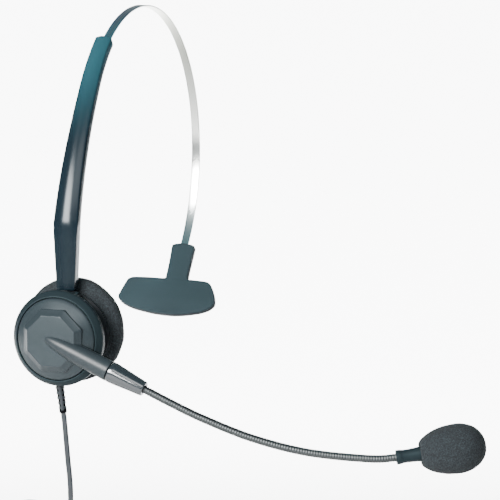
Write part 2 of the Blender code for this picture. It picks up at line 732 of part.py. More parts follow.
def make_yoke(body):
    middle_x = (YOKE_INNER_X + YOKE_OUTER_X) / 2
    middle = Vector((middle_x, 0, YOKE_TOP_Z - YOKE_HEIGHT / 2))
    yoke = block(
        "yoke", (YOKE_INNER_X - YOKE_OUTER_X, YOKE_WIDTH, YOKE_HEIGHT),
        Matrix.Translation(middle), HUB_PLASTIC, body, bevel=0.5 * MM,
    )
    stem_frame = frame_at(Vector((SWIVEL_X, 0, YOKE_TOP_Z)), (0, 0, 1), (1, 0, 0))
    groove = ARM_FOOT_WALL + 0.8 * MM
    stem = turned(
        "yoke_stem",
        [
            (0, STEM_HEIGHT),
            (STEM_RADIUS, STEM_HEIGHT),
            (STEM_RADIUS, groove + STEM_GROOVE_HEIGHT),
            (STEM_GROOVE_RADIUS, groove + STEM_GROOVE_HEIGHT),
            (STEM_GROOVE_RADIUS, groove),
            (STEM_RADIUS, groove),
            (STEM_RADIUS, -1 * MM),
            (0, -1 * MM),
        ],
        stem_frame, steps=20,
    )
    join(yoke, stem)
    pin_frame = frame_at(Vector((TILT_PIN_X, 0, TILT_PIN_Z)), (0, 1, 0), (1, 0, 0))
    cut(yoke, rod("yoke_bore", TILT_PIN_RADIUS + RUNNING_FIT, -YOKE_WIDTH, YOKE_WIDTH, pin_frame, steps=20))
    rod("tilt_pin", TILT_PIN_RADIUS, -TILT_PIN_LENGTH / 2, TILT_PIN_LENGTH / 2, pin_frame, STEEL, body, 20)
    clip_z = groove + STEM_GROOVE_HEIGHT / 2
    clip = block(
        "swivel_clip", (*CLIP_SIZE, CLIP_THICKNESS), shifted(stem_frame, clip_z), STEEL, body
    )
    slot_half = STEM_GROOVE_RADIUS + 0.2 * MM
    slot = rod("clip_eye", slot_half, -1 * MM, 1 * MM, shifted(stem_frame, clip_z))
    mouth = block(
        "clip_mouth", (2 * slot_half, CLIP_SIZE[1], 2 * MM),
        shifted(stem_frame, clip_z) @ Matrix.Translation((0, CLIP_SIZE[1] / 2, 0)),
    )
    cut(clip, slot)
    cut(clip, mouth)


# ---------------------------------------------------------------- ear cup

CUP_FRAME = Matrix(((0, 0, -1, 0), (0, 1, 0, 0), (1, 0, 0, CUP_Z), (0, 0, 0, 1)))


def relief_frame():
    """Z runs down the strain relief, from inside the shell."""
    lean = math.radians(RELIEF_LEAN_DEG)
    down = Vector((0, -math.sin(lean), -math.cos(lean)))
    return frame_at(Vector((-RELIEF_DEPTH, RELIEF_Y, CUP_Z - RELIEF_START)), down, (1, 0, 0))


def baffle_screw_places():
    """Places across the cup, the first at its top."""
    return circle(BAFFLE_SCREW_RING, 3)


def make_housing(body):
    inner = SHELL_RADIUS - SHELL_WALL
    plate_seat = PLATE_RADIUS + GAP
    web_front = WEB_DEPTH + WEB_THICKNESS
    bore = SPINDLE_RADIUS + RUNNING_FIT
    housing = turned(
        "cup_housing",
        [
            (plate_seat, RIM_FRONT_DEPTH),
            (plate_seat + RIM_LIP, RIM_FRONT_DEPTH),
            (RIM_RADIUS, RIM_BEVEL_DEPTH),
            (RIM_RADIUS, RIM_BACK_DEPTH + 2.6 * MM),
            (RIM_RADIUS - 1.4 * MM, RIM_BACK_DEPTH + 1.2 * MM),
            (SHELL_RADIUS, RIM_BACK_DEPTH),
            (SHELL_RADIUS, SHELL_BACK_DEPTH),
            (inner, SHELL_BACK_DEPTH),
            (inner, WEB_DEPTH),
            (bore, WEB_DEPTH),
            (bore, web_front),
            (plate_seat, web_front),
        ],
        CUP_FRAME, PLASTIC, body, steps=48, closed=True,
    )
    lug_y = YOKE_WIDTH / 2 + 0.4 * MM + LUG_THICKNESS / 2
    for side, name in ((-1, "front"), (1, "rear")):
        pivot = frame_at(Vector((TILT_PIN_X, side * lug_y, TILT_PIN_Z)), (0, 1, 0), (1, 0, 0))
        outline = [(LUG_RADIUS * math.cos(t), -LUG_RADIUS * math.sin(t))
                   for t in (math.radians(d) for d in range(0, 181, 20))]
        outline += [(-LUG_RADIUS, 6 * MM), (LUG_RADIUS, 6 * MM)]
        join(housing, plate(f"lug_{name}", [outline], LUG_THICKNESS, pivot))
    pin_frame = frame_at(Vector((TILT_PIN_X, 0, TILT_PIN_Z)), (0, 1, 0), (1, 0, 0))
    cut(housing, rod("lug_bore", TILT_PIN_RADIUS + RUNNING_FIT, -8 * MM, 8 * MM, pin_frame, steps=20))
    cavity = frame_at(Vector((0, 0, CUP_Z)), (-1, 0, 0), (0, 0, 1))
    cut(housing, rod("shell_clear", inner, SHELL_BACK_DEPTH - 1 * MM, WEB_DEPTH, cavity, steps=48))
    cut(housing, rod("relief_hole", RELIEF_RADII[0] + PLAY, -3 * MM, 6 * MM, relief_frame(), steps=20))
    for number, (x, y) in enumerate(baffle_screw_places(), 1):
        place = CUP_FRAME @ Matrix.Translation((x, y, 0))
        floor = SHELL_BACK_DEPTH + BAFFLE_BOSS_LENGTH
        join(housing, rod(f"boss_{number}", BOSS_RADIUS, SHELL_BACK_DEPTH + 0.2 * MM, floor, place, steps=16))
        pilot = SCREW_RADIUS + PLAY
        cut(housing, rod(f"pilot_{number}", pilot, SHELL_BACK_DEPTH - 1 * MM, floor - 1 * MM, place, steps=16))


def make_baffle(body):
    """Perforated disc that carries the cushion and closes the shell."""
    places = [(0.0, 0.0)] + circle(BAFFLE_HOLE_RING, 6) + circle(2 * BAFFLE_HOLE_RING - 1 * MM, 12)
    holes = holes_at(places, BAFFLE_HOLE_RADIUS, 8)
    holes += holes_at(baffle_screw_places(), SCREW_RADIUS + PLAY, 16)
    outlines = [circle(BAFFLE_RADIUS, 48), *holes]
    middle = shifted(CUP_FRAME, BAFFLE_DEPTH + BAFFLE_THICKNESS / 2)
    baffle = plate("speaker_baffle", outlines, BAFFLE_THICKNESS, middle, PLASTIC, body)
    seat = BAFFLE_DEPTH + BAFFLE_THICKNESS / 2
    for number, (x, y) in enumerate(baffle_screw_places(), 1):
        place = CUP_FRAME @ Matrix.Translation((x, y, 0))
        recess = rod(f"recess_{number}", SCREW_HEAD_RADIUS + GAP, BAFFLE_DEPTH - 1 * MM, seat, place, steps=16)
        cut(baffle, recess)
        head = BAFFLE_DEPTH + 0.05 * MM
        under_head = seat - 0.25 * MM
        tip = under_head + BAFFLE_SCREW_LENGTH
        profile = [
            (0, tip), (SCREW_RADIUS, tip), (SCREW_RADIUS, under_head), (SCREW_HEAD_RADIUS, under_head),
            (SCREW_HEAD_RADIUS, head + 0.2 * MM), (SCREW_HEAD_RADIUS - 0.3 * MM, head), (0, head),
        ]
        turned(f"baffle_screw_{number}", profile, place, STEEL, body, steps=16)


def make_cushion(body):
    near, far = CUSHION_DEPTHS
    middle = (near + far) / 2
    half = (far - near) / 2
    bulge = 3.6 * MM
    turns = [math.radians(d) for d in range(90, -91, -30)]
    outer = [(CUSHION_RADIUS - bulge + bulge * math.cos(t), middle + half * math.sin(t)) for t in turns]
    inner = [(CUSHION_HOLE_RADIUS + bulge - bulge * math.cos(t), middle + half * math.sin(t))
             for t in reversed(turns)]
    turned("ear_cushion", outer + inner, CUP_FRAME, FOAM, body, steps=40, closed=True)


def make_speaker(body):
    rim = SPEAKER_RADIUS
    throat = MAGNET_RADIUS + 0.4 * MM
    front = SHELL_BACK_DEPTH + 0.1 * MM
    turned(
        "speaker_frame",
        [
            (throat, front + 4.9 * MM), (throat + 1 * MM, front + 4.9 * MM),
            (throat + 1 * MM, front + 3.2 * MM), (rim - 1.5 * MM, front + 1.5 * MM),
            (rim, front + 1.2 * MM), (rim, front), (rim - 1 * MM, front),
            (rim - 1 * MM, front + 0.9 * MM), (throat, front + 2.6 * MM),
        ],
        CUP_FRAME, STEEL, body, steps=32, closed=True,
    )
    cone = [(0, 1.9), (3.5, 1.3), (6.8, 1.6), (10.2, 0.6), (10.2, 0.3), (6.8, 1.2), (3.5, 0.9), (0, 1.5)]
    turned(
        "speaker_diaphragm", [(r * MM, front + d * MM) for r, d in cone], CUP_FRAME, PAPER, body, steps=24
    )
    rod("speaker_magnet", MAGNET_RADIUS, *MAGNET_DEPTHS, CUP_FRAME, STEEL, body)
    board = CUP_FRAME @ Matrix.Translation((10.4 * MM, 0, 97.8 * MM))
    block("terminal_board", (5.2 * MM, 9.6 * MM, 0.8 * MM), board, BOARD, body)


def make_relief(body):
    wide, slim = RELIEF_RADII
    flange = 3.0 * MM
    start = -3.3 * MM
    turned(
        "strain_relief",
        [
            (0, RELIEF_LENGTH),
            (slim - 0.4 * MM, RELIEF_LENGTH),
            (slim, RELIEF_LENGTH - 0.6 * MM),
            (wide, 6 * MM),
            (wide, start + 1 * MM),
            (flange, start + 1 * MM),
            (flange, start),
            (0, start),
        ],
        relief_frame(), CORD_RUBBER, body, steps=16,
    )


def make_cup(body):
    make_housing(body)
    make_baffle(body)
    make_cushion(body)
    make_speaker(body)
    turned(
        "wave_washer",
        [(SPINDLE_RADIUS + PLAY, 99.6 * MM), (6.4 * MM, 99.6 * MM), (6.4 * MM, 99.1 * MM),
         (SPINDLE_RADIUS + PLAY, 99.1 * MM)],
        CUP_FRAME, STEEL, body, steps=24, closed=True,
    )
    make_relief(body)


# ---------------------------------------------------------------- cord, coil and plug


def make_cord(body):
    frame = relief_frame()
    exit_point = frame @ Vector((0, 0, RELIEF_LENGTH + GAP))
    after_exit = frame @ Vector((0, 0, RELIEF_LENGTH + 3 * MM))
    spacing = 2.6 * CORD_DIAMETER
    route = smooth_route([exit_point, after_exit, *in_metres(CORD_POINTS)], spacing)
    tube("cord", route, CORD_DIAMETER / 2, CORD_RUBBER, body)
    make_coil(body)
    tail = smooth_route(in_metres(TAIL_POINTS), spacing)
    tube("cord_tail", tail, CORD_DIAMETER / 2, CORD_RUBBER, body)
    make_plug(Vector(TAIL_POINTS[-1]) * MM, body)


def make_coil(body):
    half = COIL_HALF_WIDTH
    near = COIL_RADIUS - COIL_HALF_DEPTH
    far = COIL_RADIUS + COIL_HALF_DEPTH
    soft = COIL_CHAMFER
    frame = frame_at(COIL_CENTRE, (1, 0, 0), (0, 1, 0))
    turned(
        "cord_coil",
        [
            (near + soft, half), (far - soft, half), (far, half - soft), (far, soft - half),
            (far - soft, -half), (near + soft, -half), (near, soft - half), (near, half - soft),
        ],
        frame, CORD_RUBBER, body, steps=40, closed=True,
    )
    angle = math.radians(TIE_DEG)
    out = Vector((0, math.cos(angle), math.sin(angle)))
    along = Vector((0, -math.sin(angle), math.cos(angle)))
    clear = GAP + 0.2 * MM
    corners = ((-1, -1), (1, -1), (1, 1), (-1, 1))
    rings = [
        [(x * (COIL_HALF_DEPTH + grow), y * (COIL_HALF_WIDTH + grow)) for x, y in corners]
        for grow in (clear + TIE_WALL, clear)
    ]
    plate("cord_tie", rings, TIE_WIDTH, frame_at(COIL_CENTRE + out * COIL_RADIUS, along, out), SOFT, body)


def make_plug(end, body):
    """Quick-disconnect plug, hanging from the lead's tail: a boot, a rounded shell and its contact block."""
    down = frame_at(end + Vector((0, 0, -GAP)), (0, 0, -1), (1, 0, 0))
    turned(
        "plug_boot",
        [(0, PLUG_BOOT_LENGTH), (3.2 * MM, PLUG_BOOT_LENGTH), (2.8 * MM, 5 * MM), (1.9 * MM, 0), (0, 0)],
        down, CORD_RUBBER, body, steps=16,
    )
    top = PLUG_BOOT_LENGTH + GAP
    shell = block("plug_shell", PLUG_SIZE, shifted(down, top + PLUG_SIZE[2] / 2), PLASTIC, body, PLUG_ROUNDING)
    bottom = top + PLUG_SIZE[2]
    pocket = block("plug_pocket", PLUG_POCKET, shifted(down, bottom - PLUG_POCKET[2] / 2 + 0.5 * MM))
    cut(shell, pocket)
    contact_size = (PLUG_POCKET[0] - 1.2 * MM, PLUG_POCKET[1] - 1.2 * MM, 6 * MM)
    contact_middle = bottom - PLUG_POCKET[2] + 0.5 * MM + GAP + contact_size[2] / 2
    block("plug_contacts", contact_size, shifted(down, contact_middle), BRASS, body)


# ---------------------------------------------------------------- boom


def boom_direction():
    pitch = math.radians(BOOM_PITCH_DEG)
    return Vector((0, -math.cos(pitch), -math.sin(pitch)))


BOOM_FRAME = frame_at(Vector((-BOOM_DEPTH, 0, CUP_Z)), boom_direction(), (1, 0, 0))


def torpedo_profile():
    """Blunt pointed root that swells to the collar's seam."""
    nose = 22 * MM
    waist = TORPEDO_RADIUS - 0.35 * MM
    points = [(0, TORPEDO_LENGTH), (TORPEDO_RADIUS, TORPEDO_LENGTH), (waist, nose - TORPEDO_TAIL)]
    for share in (0.75, 0.55, 0.38, 0.24, 0.12, 0.04):
        points.append((waist * math.sqrt(1 - (1 - share) ** 2), nose * share - TORPEDO_TAIL))
    return [*points, (0, -TORPEDO_TAIL)]


def make_hub(body):
    back = PLATE_BACK_DEPTH
    groove = WEB_DEPTH - 1.6 * MM
    hub = turned(
        "boom_hub",
        [
            (0, DOME_DEPTH), (DOME_TOP_RADIUS, DOME_DEPTH), (PLATE_RADIUS, RIM_FRONT_DEPTH),
            (PLATE_RADIUS, back), (PLATE_RADIUS - 1.8 * MM, back),
            (PLATE_RADIUS - 1.8 * MM, RIM_FRONT_DEPTH - 1.2 * MM), (DOME_TOP_RADIUS - 1 * MM, DOME_DEPTH - 2.4 * MM),
            (SPINDLE_RADIUS + 2.2 * MM, DOME_DEPTH - 2.4 * MM), (SPINDLE_RADIUS + 2.2 * MM, back),
            (SPINDLE_RADIUS, back), (SPINDLE_RADIUS, groove), (SPINDLE_RADIUS - 0.5 * MM, groove),
            (SPINDLE_RADIUS - 0.5 * MM, groove - 0.8 * MM), (SPINDLE_RADIUS, groove - 0.8 * MM),
            (SPINDLE_RADIUS, groove - 1.3 * MM), (SPINDLE_RADIUS - 1 * MM, groove - 1.3 * MM),
            (SPINDLE_RADIUS - 1 * MM, DOME_DEPTH - 4 * MM), (0, DOME_DEPTH - 4 * MM),
        ],
        CUP_FRAME, HUB_PLASTIC, body, steps=48,
    )
    to_corner = 1 / math.cos(math.pi / 8)
    sunk = 1.5 * MM
    slope = (OCTAGON_BASE - OCTAGON_TOP) / 2 / (OCTAGON_DEPTH - DOME_DEPTH)
    mesh = bpy.data.meshes.new("octagon")
    shape = bmesh.new()
    bmesh.ops.create_cone(
        shape, cap_ends=True, segments=8,
        radius1=(OCTAGON_BASE / 2 + slope * sunk) * to_corner, radius2=OCTAGON_TOP / 2 * to_corner,
        depth=OCTAGON_DEPTH - DOME_DEPTH + sunk,
        matrix=Matrix.Translation((0, 0, (OCTAGON_DEPTH + DOME_DEPTH - sunk) / 2)) @ Matrix.Rotation(math.pi / 8, 4, "Z"),
    )
    shape.to_mesh(mesh)
    shape.free()
    join(hub, add_object("octagon", mesh, CUP_FRAME))
    join(hub, turned("torpedo", torpedo_profile(), BOOM_FRAME, steps=32))
    socket = rod(
        "neck_socket", NECK_RADIUS + PLAY, TORPEDO_LENGTH - NECK_SOCKET, TORPEDO_LENGTH + 1 * MM,
        BOOM_FRAME, steps=20,
    )
    cut(hub, socket)
    make_retainer(groove, body)


def make_retainer(groove, body):
    """Split ring that snaps into the spindle's groove behind the web."""
    ring_inner = SPINDLE_RADIUS - 0.3 * MM
    ring_outer = SPINDLE_RADIUS + 1.9 * MM
    thickness = 0.5 * MM
    spread = [math.radians(d) for d in np.linspace(25, 335, 22)]
    outline = [(ring_outer * math.cos(t), ring_outer * math.sin(t)) for t in spread]
    outline += [(ring_inner * math.cos(t), ring_inner * math.sin(t)) for t in reversed(spread)]
    plate("hub_retainer", [outline], thickness, shifted(CUP_FRAME, groove - 0.4 * MM), STEEL, body)


def make_collar(body):
    start = TORPEDO_LENGTH + GAP
    end = start + COLLAR_LENGTH
    bore = NECK_RADIUS + PLAY
    turned(
        "boom_collar",
        [
            (bore, end), (COLLAR_END_RADIUS - 0.3 * MM, end), (COLLAR_END_RADIUS, end - 0.4 * MM),
            (TORPEDO_RADIUS, start + 1.6 * MM), (TORPEDO_RADIUS, start + 0.3 * MM),
            (TORPEDO_RADIUS - 0.3 * MM, start), (bore, start),
        ],
        BOOM_FRAME, PLASTIC, body, steps=32, closed=True,
    )


def neck_route():
    """Even points along the gooseneck, from inside the torpedo to inside the microphone's boot."""
    inside = BOOM_FRAME @ Vector((0, 0, TORPEDO_LENGTH - NECK_SOCKET + 0.8 * MM))
    mouth = BOOM_FRAME @ Vector((0, 0, TORPEDO_LENGTH + COLLAR_LENGTH + 1 * MM))
    boot = Vector(NECK_POINTS[-1]) * MM
    end = boot + mic_direction() * 5 * MM
    return smooth_route([inside, mouth, *in_metres(NECK_POINTS), end], 2.2 * NECK_RADIUS)


def mic_direction():
    yaw = math.radians(MIC_YAW_DEG)
    pitch = math.radians(MIC_PITCH_DEG)
    return Vector((math.sin(yaw) * math.cos(pitch), -math.cos(yaw) * math.cos(pitch), math.sin(pitch)))


def cut_route(route, start, end):
    """The part of a route between two lengths, with a point at each end."""
    lengths = np.cumsum([0] + [(q - p).length for p, q in zip(route, route[1:])])
    inside = [p for p, length in zip(route, lengths) if start + 1 * MM < length < end - 1 * MM]
    ends = [Vector(np.interp(x, lengths, [p[k] for p in route]) for k in range(3)) for x in (start, end)]
    return [ends[0], *inside, ends[1]]


def route_length(route):
    return sum((q - p).length for p, q in zip(route, route[1:]))


def bend_lengths(route):
    """Where the two bends are, counted from the start of the route inside the torpedo."""
    hidden = NECK_SOCKET - 0.8 * MM + COLLAR_LENGTH
    free = route_length(route) - hidden - 5 * MM
    return [hidden + free * share for share in BENDS_AT]


def make_mic(body):
    frame = frame_at(Vector(NECK_POINTS[-1]) * MM, mic_direction(), (0, 0, 1))
    socket = NECK_RADIUS + PLAY
    cup = BOOT_LENGTH - 6 * MM
    cup_radius = CAPSULE_RADIUS + PLAY
    turned(
        "mic_boot",
        [
            (0, cup), (cup_radius, cup), (cup_radius, BOOT_LENGTH), (BOOT_RADIUS, BOOT_LENGTH),
            (BOOT_RADIUS, FOAM_START - 1 * MM), (BOOT_WAIST_RADIUS, FOAM_START - 1.6 * MM),
            (BOOT_WAIST_RADIUS, 2.8 * MM), (BOOT_RADIUS, 2.2 * MM), (BOOT_RADIUS, 0.3 * MM),
            (BOOT_RADIUS - 0.3 * MM, 0), (socket, 0), (socket, 5.5 * MM), (0, 5.5 * MM),
        ],
        frame, HUB_PLASTIC, body, steps=24,
    )
    rod("mic_capsule", CAPSULE_RADIUS, cup + GAP, cup + 3 * MM, frame, STEEL, body, steps=20)
    holes = holes_at(circle(1.2 * MM, 5), 0.35 * MM, 8)
    screen_place = shifted(frame, cup + 4.1 * MM)
    plate("mic_screen", [circle(CAPSULE_RADIUS, 20), *holes], 1 * MM, screen_place, PLASTIC, body)
    make_windscreen(frame, body)


def make_windscreen(frame, body):
    """Egg of foam, widest past its middle, with a blind bore that takes the boot."""
    outer = []
    for share in np.linspace(1, 0, 15):
        if share >= FOAM_WIDEST:
            off = (share - FOAM_WIDEST) / (1 - FOAM_WIDEST)
        else:
            off = (FOAM_WIDEST - share) / FOAM_WIDEST
        radius = FOAM_RADIUS * math.sqrt(max(0.0, 1 - off**2.3))
        if share < FOAM_WIDEST:
            radius = max(radius, FOAM_LIP_RADIUS)
        outer.append((radius, FOAM_START + FOAM_LENGTH * share))
    bore = BOOT_RADIUS + PLAY
    depth = BOOT_LENGTH + 1 * MM
    turned("mic_foam", [*outer, (bore, FOAM_START), (bore, depth), (0, depth)], frame, FOAM, body, steps=28)


def make_boom(ear_cup):
    boom = empty_at("boom_axis", Vector((-BOOM_DEPTH, 0, CUP_Z)), ear_cup)
    make_hub(boom)
    make_collar(boom)
    route = neck_route()
    first, second = bend_lengths(route)
    rear = cut_route(route, 0, first - BEND_GAP)
    middle = cut_route(route, first + BEND_GAP, second - BEND_GAP)
    front = cut_route(route, second + BEND_GAP, route_length(route) - 0.3 * MM)
    tube("gooseneck_rear", rear, NECK_RADIUS, NECK_METAL, boom)
    bend = empty_at("boom_bend_axis", (rear[-1] + middle[0]) / 2, boom)
    tube("gooseneck_middle", middle, NECK_RADIUS, NECK_METAL, bend)
    mic = empty_at("mic_bend_axis", (middle[-1] + front[0]) / 2, bend)
    tube("gooseneck_front", front, NECK_RADIUS, NECK_METAL, mic)
    make_mic(mic)


def main():
    headband = empty_at("headband", Vector())
    make_band(headband)
    make_t_bar(headband)
    arm = empty_at("arm_slide_axis", LOOP_CENTRE, headband)
    make_arm(arm)
    yoke = empty_at("swivel_axis", Vector((SWIVEL_X, 0, ARM_BOTTOM_Z)), arm)
    make_yoke(yoke)
    ear_cup = empty_at("tilt_axis", Vector((TILT_PIN_X, 0, TILT_PIN_Z)), yoke)
    make_cup(ear_cup)
    make_cord(ear_cup)
    make_boom(ear_cup)


main()
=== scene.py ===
# %% [markdown]
# # Finishing an office headset in Blender
# The headset is already measured and jointed: every part has its true size and moves on its true axis.
# This lesson gives those parts their looks. Fine shells take the place of plain solids, Geometry Nodes
# make what repeats, and each finish is a small node tree that is written as arithmetic.

import json
import math

import bmesh
import bpy
import numpy as np
from mathutils import Matrix, Vector, noise


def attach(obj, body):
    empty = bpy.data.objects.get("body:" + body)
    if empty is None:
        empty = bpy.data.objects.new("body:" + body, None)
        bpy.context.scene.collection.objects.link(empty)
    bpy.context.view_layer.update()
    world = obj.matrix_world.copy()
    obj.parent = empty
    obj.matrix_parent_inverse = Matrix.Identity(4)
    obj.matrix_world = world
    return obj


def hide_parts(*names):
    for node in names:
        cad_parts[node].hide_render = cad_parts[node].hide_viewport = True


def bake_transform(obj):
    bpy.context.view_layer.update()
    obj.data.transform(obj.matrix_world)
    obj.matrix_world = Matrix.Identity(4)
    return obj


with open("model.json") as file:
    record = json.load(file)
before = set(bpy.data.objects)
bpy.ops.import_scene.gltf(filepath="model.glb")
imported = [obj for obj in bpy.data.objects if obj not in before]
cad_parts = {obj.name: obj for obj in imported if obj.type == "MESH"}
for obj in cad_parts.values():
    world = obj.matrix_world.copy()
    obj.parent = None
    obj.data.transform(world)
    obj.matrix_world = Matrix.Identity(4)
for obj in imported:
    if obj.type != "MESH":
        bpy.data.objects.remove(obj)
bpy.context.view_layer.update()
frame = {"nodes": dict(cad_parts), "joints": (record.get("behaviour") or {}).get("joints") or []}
JOINTS = {joint["name"]: joint for joint in frame["joints"]}
MM = 0.001

# %% [markdown]
# ## The camera
# A long lens from the front left, a little above the ear cup, sees the broad face of the cup and the
# inner side of the T-bar at once. It is set first, because what it can't see decides where the spare
# length of the lead may hang.

# %% Place the camera
VIEW_ALONG = Vector((0.9335, 0.3306, -0.1392))
camera_data = bpy.data.cameras.new("camera")
camera_data.lens = 220.4
camera_data.clip_end = 100
camera = bpy.data.objects.new("camera", camera_data)
camera.location = (-1.3612, -0.5376, 0.0883)
camera.rotation_euler = VIEW_ALONG.to_track_quat("-Z", "Y").to_euler()
bpy.context.scene.collection.objects.link(camera)
bpy.context.scene.camera = camera
print("camera", round(camera.location.length, 3), "m from the crown of the band")

# %% [markdown]
# ## Writing node trees as arithmetic
# A node tree is quicker to read as a formula than as a picture of boxes. The Wire class wraps one
# socket, and adding or multiplying two wires adds the Math node that does it. The Sheet class holds a
# tree and makes every other node from its type, its settings and its inputs.


# %% One socket, and the operators on it
class Wire:
    """A socket of a node tree. Arithmetic on it adds Math nodes."""

    def __init__(self, sheet, socket):
        self.sheet, self.socket = sheet, socket

    def maths(self, operation, *others):
        return self.sheet.add("ShaderNodeMath", {"operation": operation}, [self, *others])

    def __add__(self, other):
        return self.maths("ADD", other)

    def __sub__(self, other):
        return self.maths("SUBTRACT", other)

    def __mul__(self, other):
        return self.maths("MULTIPLY", other)

    def __truediv__(self, other):
        return self.maths("DIVIDE", other)

    def __rsub__(self, other):
        return self.sheet.add("ShaderNodeMath", {"operation": "SUBTRACT"}, [other, self])

    __radd__ = __add__
    __rmul__ = __mul__

    def clamp(self, low, high):
        return self.maths("MAXIMUM", low).maths("MINIMUM", high)

    def step(self, low, high):
        """0 under low, 1 over high and a smooth rise between them."""
        kind = {"interpolation_type": "SMOOTHSTEP"}
        return self.sheet.add("ShaderNodeMapRange", kind, {"Value": self, "From Min": low, "From Max": high})


# %% A tree, and one way to add any node to it
class Sheet:
    """A node tree that is being written."""

    def __init__(self, tree):
        self.tree = tree

    def add(self, kind, settings=None, inputs=(), out=0):
        node = self.tree.nodes.new(kind)
        for name, value in (settings or {}).items():
            if name == "stops":
                self.fill_ramp(node.color_ramp, value)
            else:
                setattr(node, name, value)
        for key, value in inputs.items() if isinstance(inputs, dict) else enumerate(inputs):
            if isinstance(value, Wire):
                self.tree.links.new(value.socket, node.inputs[key])
            else:
                node.inputs[key].default_value = value
        return Wire(self, node.outputs[out])

    @staticmethod
    def fill_ramp(ramp, stops):
        for place, colour in stops[2:]:
            ramp.elements.new(place)
        for element, (place, colour) in zip(ramp.elements, stops):
            element.position = place
            element.color = (*colour, 1)

    def mix(self, factor, first, second):
        """A colour between two, each a wire or three numbers."""
        sides = [c if isinstance(c, Wire) else (*c, 1) for c in (first, second)]
        return self.add("ShaderNodeMix", {"data_type": "RGBA"}, {0: factor, 6: sides[0], 7: sides[1]}, 2)

    def place(self):
        return self.add("ShaderNodeTexCoord", out="Object")

    def axes(self, vector):
        return [self.add("ShaderNodeSeparateXYZ", None, [vector], out) for out in "XYZ"]

    def grain(self, vector, scale, detail=3.0, stretch=(1, 1, 1)):
        """Noise from 0 to 1. Scale counts grains in a metre, and stretch divides it along each axis."""
        vector = self.add("ShaderNodeVectorMath", {"operation": "MULTIPLY"}, [vector, stretch])
        return self.add("ShaderNodeTexNoise", None, {"Vector": vector, "Scale": scale, "Detail": detail})

    def bump(self, height, strength, distance):
        inputs = {"Height": height, "Strength": strength, "Distance": distance}
        return self.add("ShaderNodeBump", None, inputs)


# %% A finish starts as a plain shader
def new_finish(name, colour, roughness, **fixed):
    """(material, its sheet, a function that feeds a socket of its shader)."""
    material = bpy.data.materials.new(name)
    material.use_nodes = True
    shader = material.node_tree.nodes["Principled BSDF"]
    shader.inputs["Base Color"].default_value = (*colour, 1)
    shader.inputs["Roughness"].default_value = roughness
    for key, value in fixed.items():
        shader.inputs[key.replace("_", " ")].default_value = value
    sheet = Sheet(material.node_tree)

    def feed(socket, wire):
        sheet.tree.links.new(wire.socket, shader.inputs[socket])

    return material, sheet, feed


# %% [markdown]
# ## Moulded plastics
# The cup and the boom's root are moulded in a dark satin plastic with a fine spark-eroded grain: tiny
# pits that scatter a highlight into a soft patch. One function makes this family of finishes. The grain
# is a bump, and a second, broader noise shifts the colour a little, as thickness does in a moulding.


# %% Moulded plastic
def moulded(name, colour, roughness, grain=0.12, spread=0.18, **fixed):
    material, sheet, feed = new_finish(name, colour, roughness, **fixed)
    place = sheet.place()
    fine = sheet.grain(place, 2600, 2)
    broad = sheet.grain(place, 60, 2)
    dark = tuple(c * (1 - spread) for c in colour)
    light = tuple(c * (1 + spread) for c in colour)
    feed("Base Color", sheet.mix(broad * 0.6 + fine * 0.4, dark, light))
    feed("Roughness", (fine - 0.5) * 0.16 + roughness)
    feed("Normal", sheet.bump(fine, grain, 0.00006))
    return material


CUP_SATIN = moulded("cup_satin", (0.015, 0.021, 0.024), 0.34, Specular_IOR_Level=0.42,
                    Specular_Tint=(0.88, 0.97, 1.0, 1))
RIM_SATIN = moulded("rim_satin", (0.008, 0.013, 0.015), 0.5, Specular_IOR_Level=0.16,
                    Specular_Tint=(0.7, 0.93, 1.0, 1))
BOOM_SATIN = moulded("boom_satin", (0.015, 0.021, 0.024), 0.38, Specular_IOR_Level=0.33)
DARK_MATTE = moulded("dark_matte", (0.008, 0.011, 0.013), 0.5)
# Near-black finish that stands for the shade inside the strain relief's slots: painted shade.
PAINTED_SLOT_SHADE = moulded("painted_slot_shade", (0.002, 0.002, 0.003), 0.9, Specular_IOR_Level=0.1)
print("moulded finishes:", CUP_SATIN.name, RIM_SATIN.name, BOOM_SATIN.name, DARK_MATTE.name)

# %% [markdown]
# The arm and the collar are the same plastic from a polished tool, so they are glossier. Painted light
# makes the arm's colour lighter towards its top: its upper end is painted a clear teal, and lower down it
# turns to a darker blue-grey. The painted fade follows the arm's own height, so it stays in place when the
# arm moves.

# %% Polished plastic of the arm
ARM_GLOSS, sheet, feed = new_finish("arm_gloss", (0.02, 0.04, 0.05), 0.27, Specular_IOR_Level=0.3,
                                    Specular_Tint=(0.92, 0.98, 1.0, 1))
place = sheet.place()
height = sheet.axes(place)[2]
# Painted light: the arm's colour is lighter teal towards its top and darker lower down.
painted_top_light = height.step(-0.06, -0.014)
mottle = sheet.grain(place, 900, 3)
feed("Base Color", sheet.mix(painted_top_light, (0.004, 0.009, 0.013), (0.014, 0.054, 0.068)))
feed("Roughness", mottle * 0.05 + 0.2)
feed("Normal", sheet.bump(mottle, 0.02, 0.00004))
COLLAR_GLOSS = moulded("collar_gloss", (0.008, 0.013, 0.016), 0.17, grain=0.01, spread=0.08, Coat_Weight=1.0,
                       Coat_Roughness=0.12, Specular_IOR_Level=0.9)
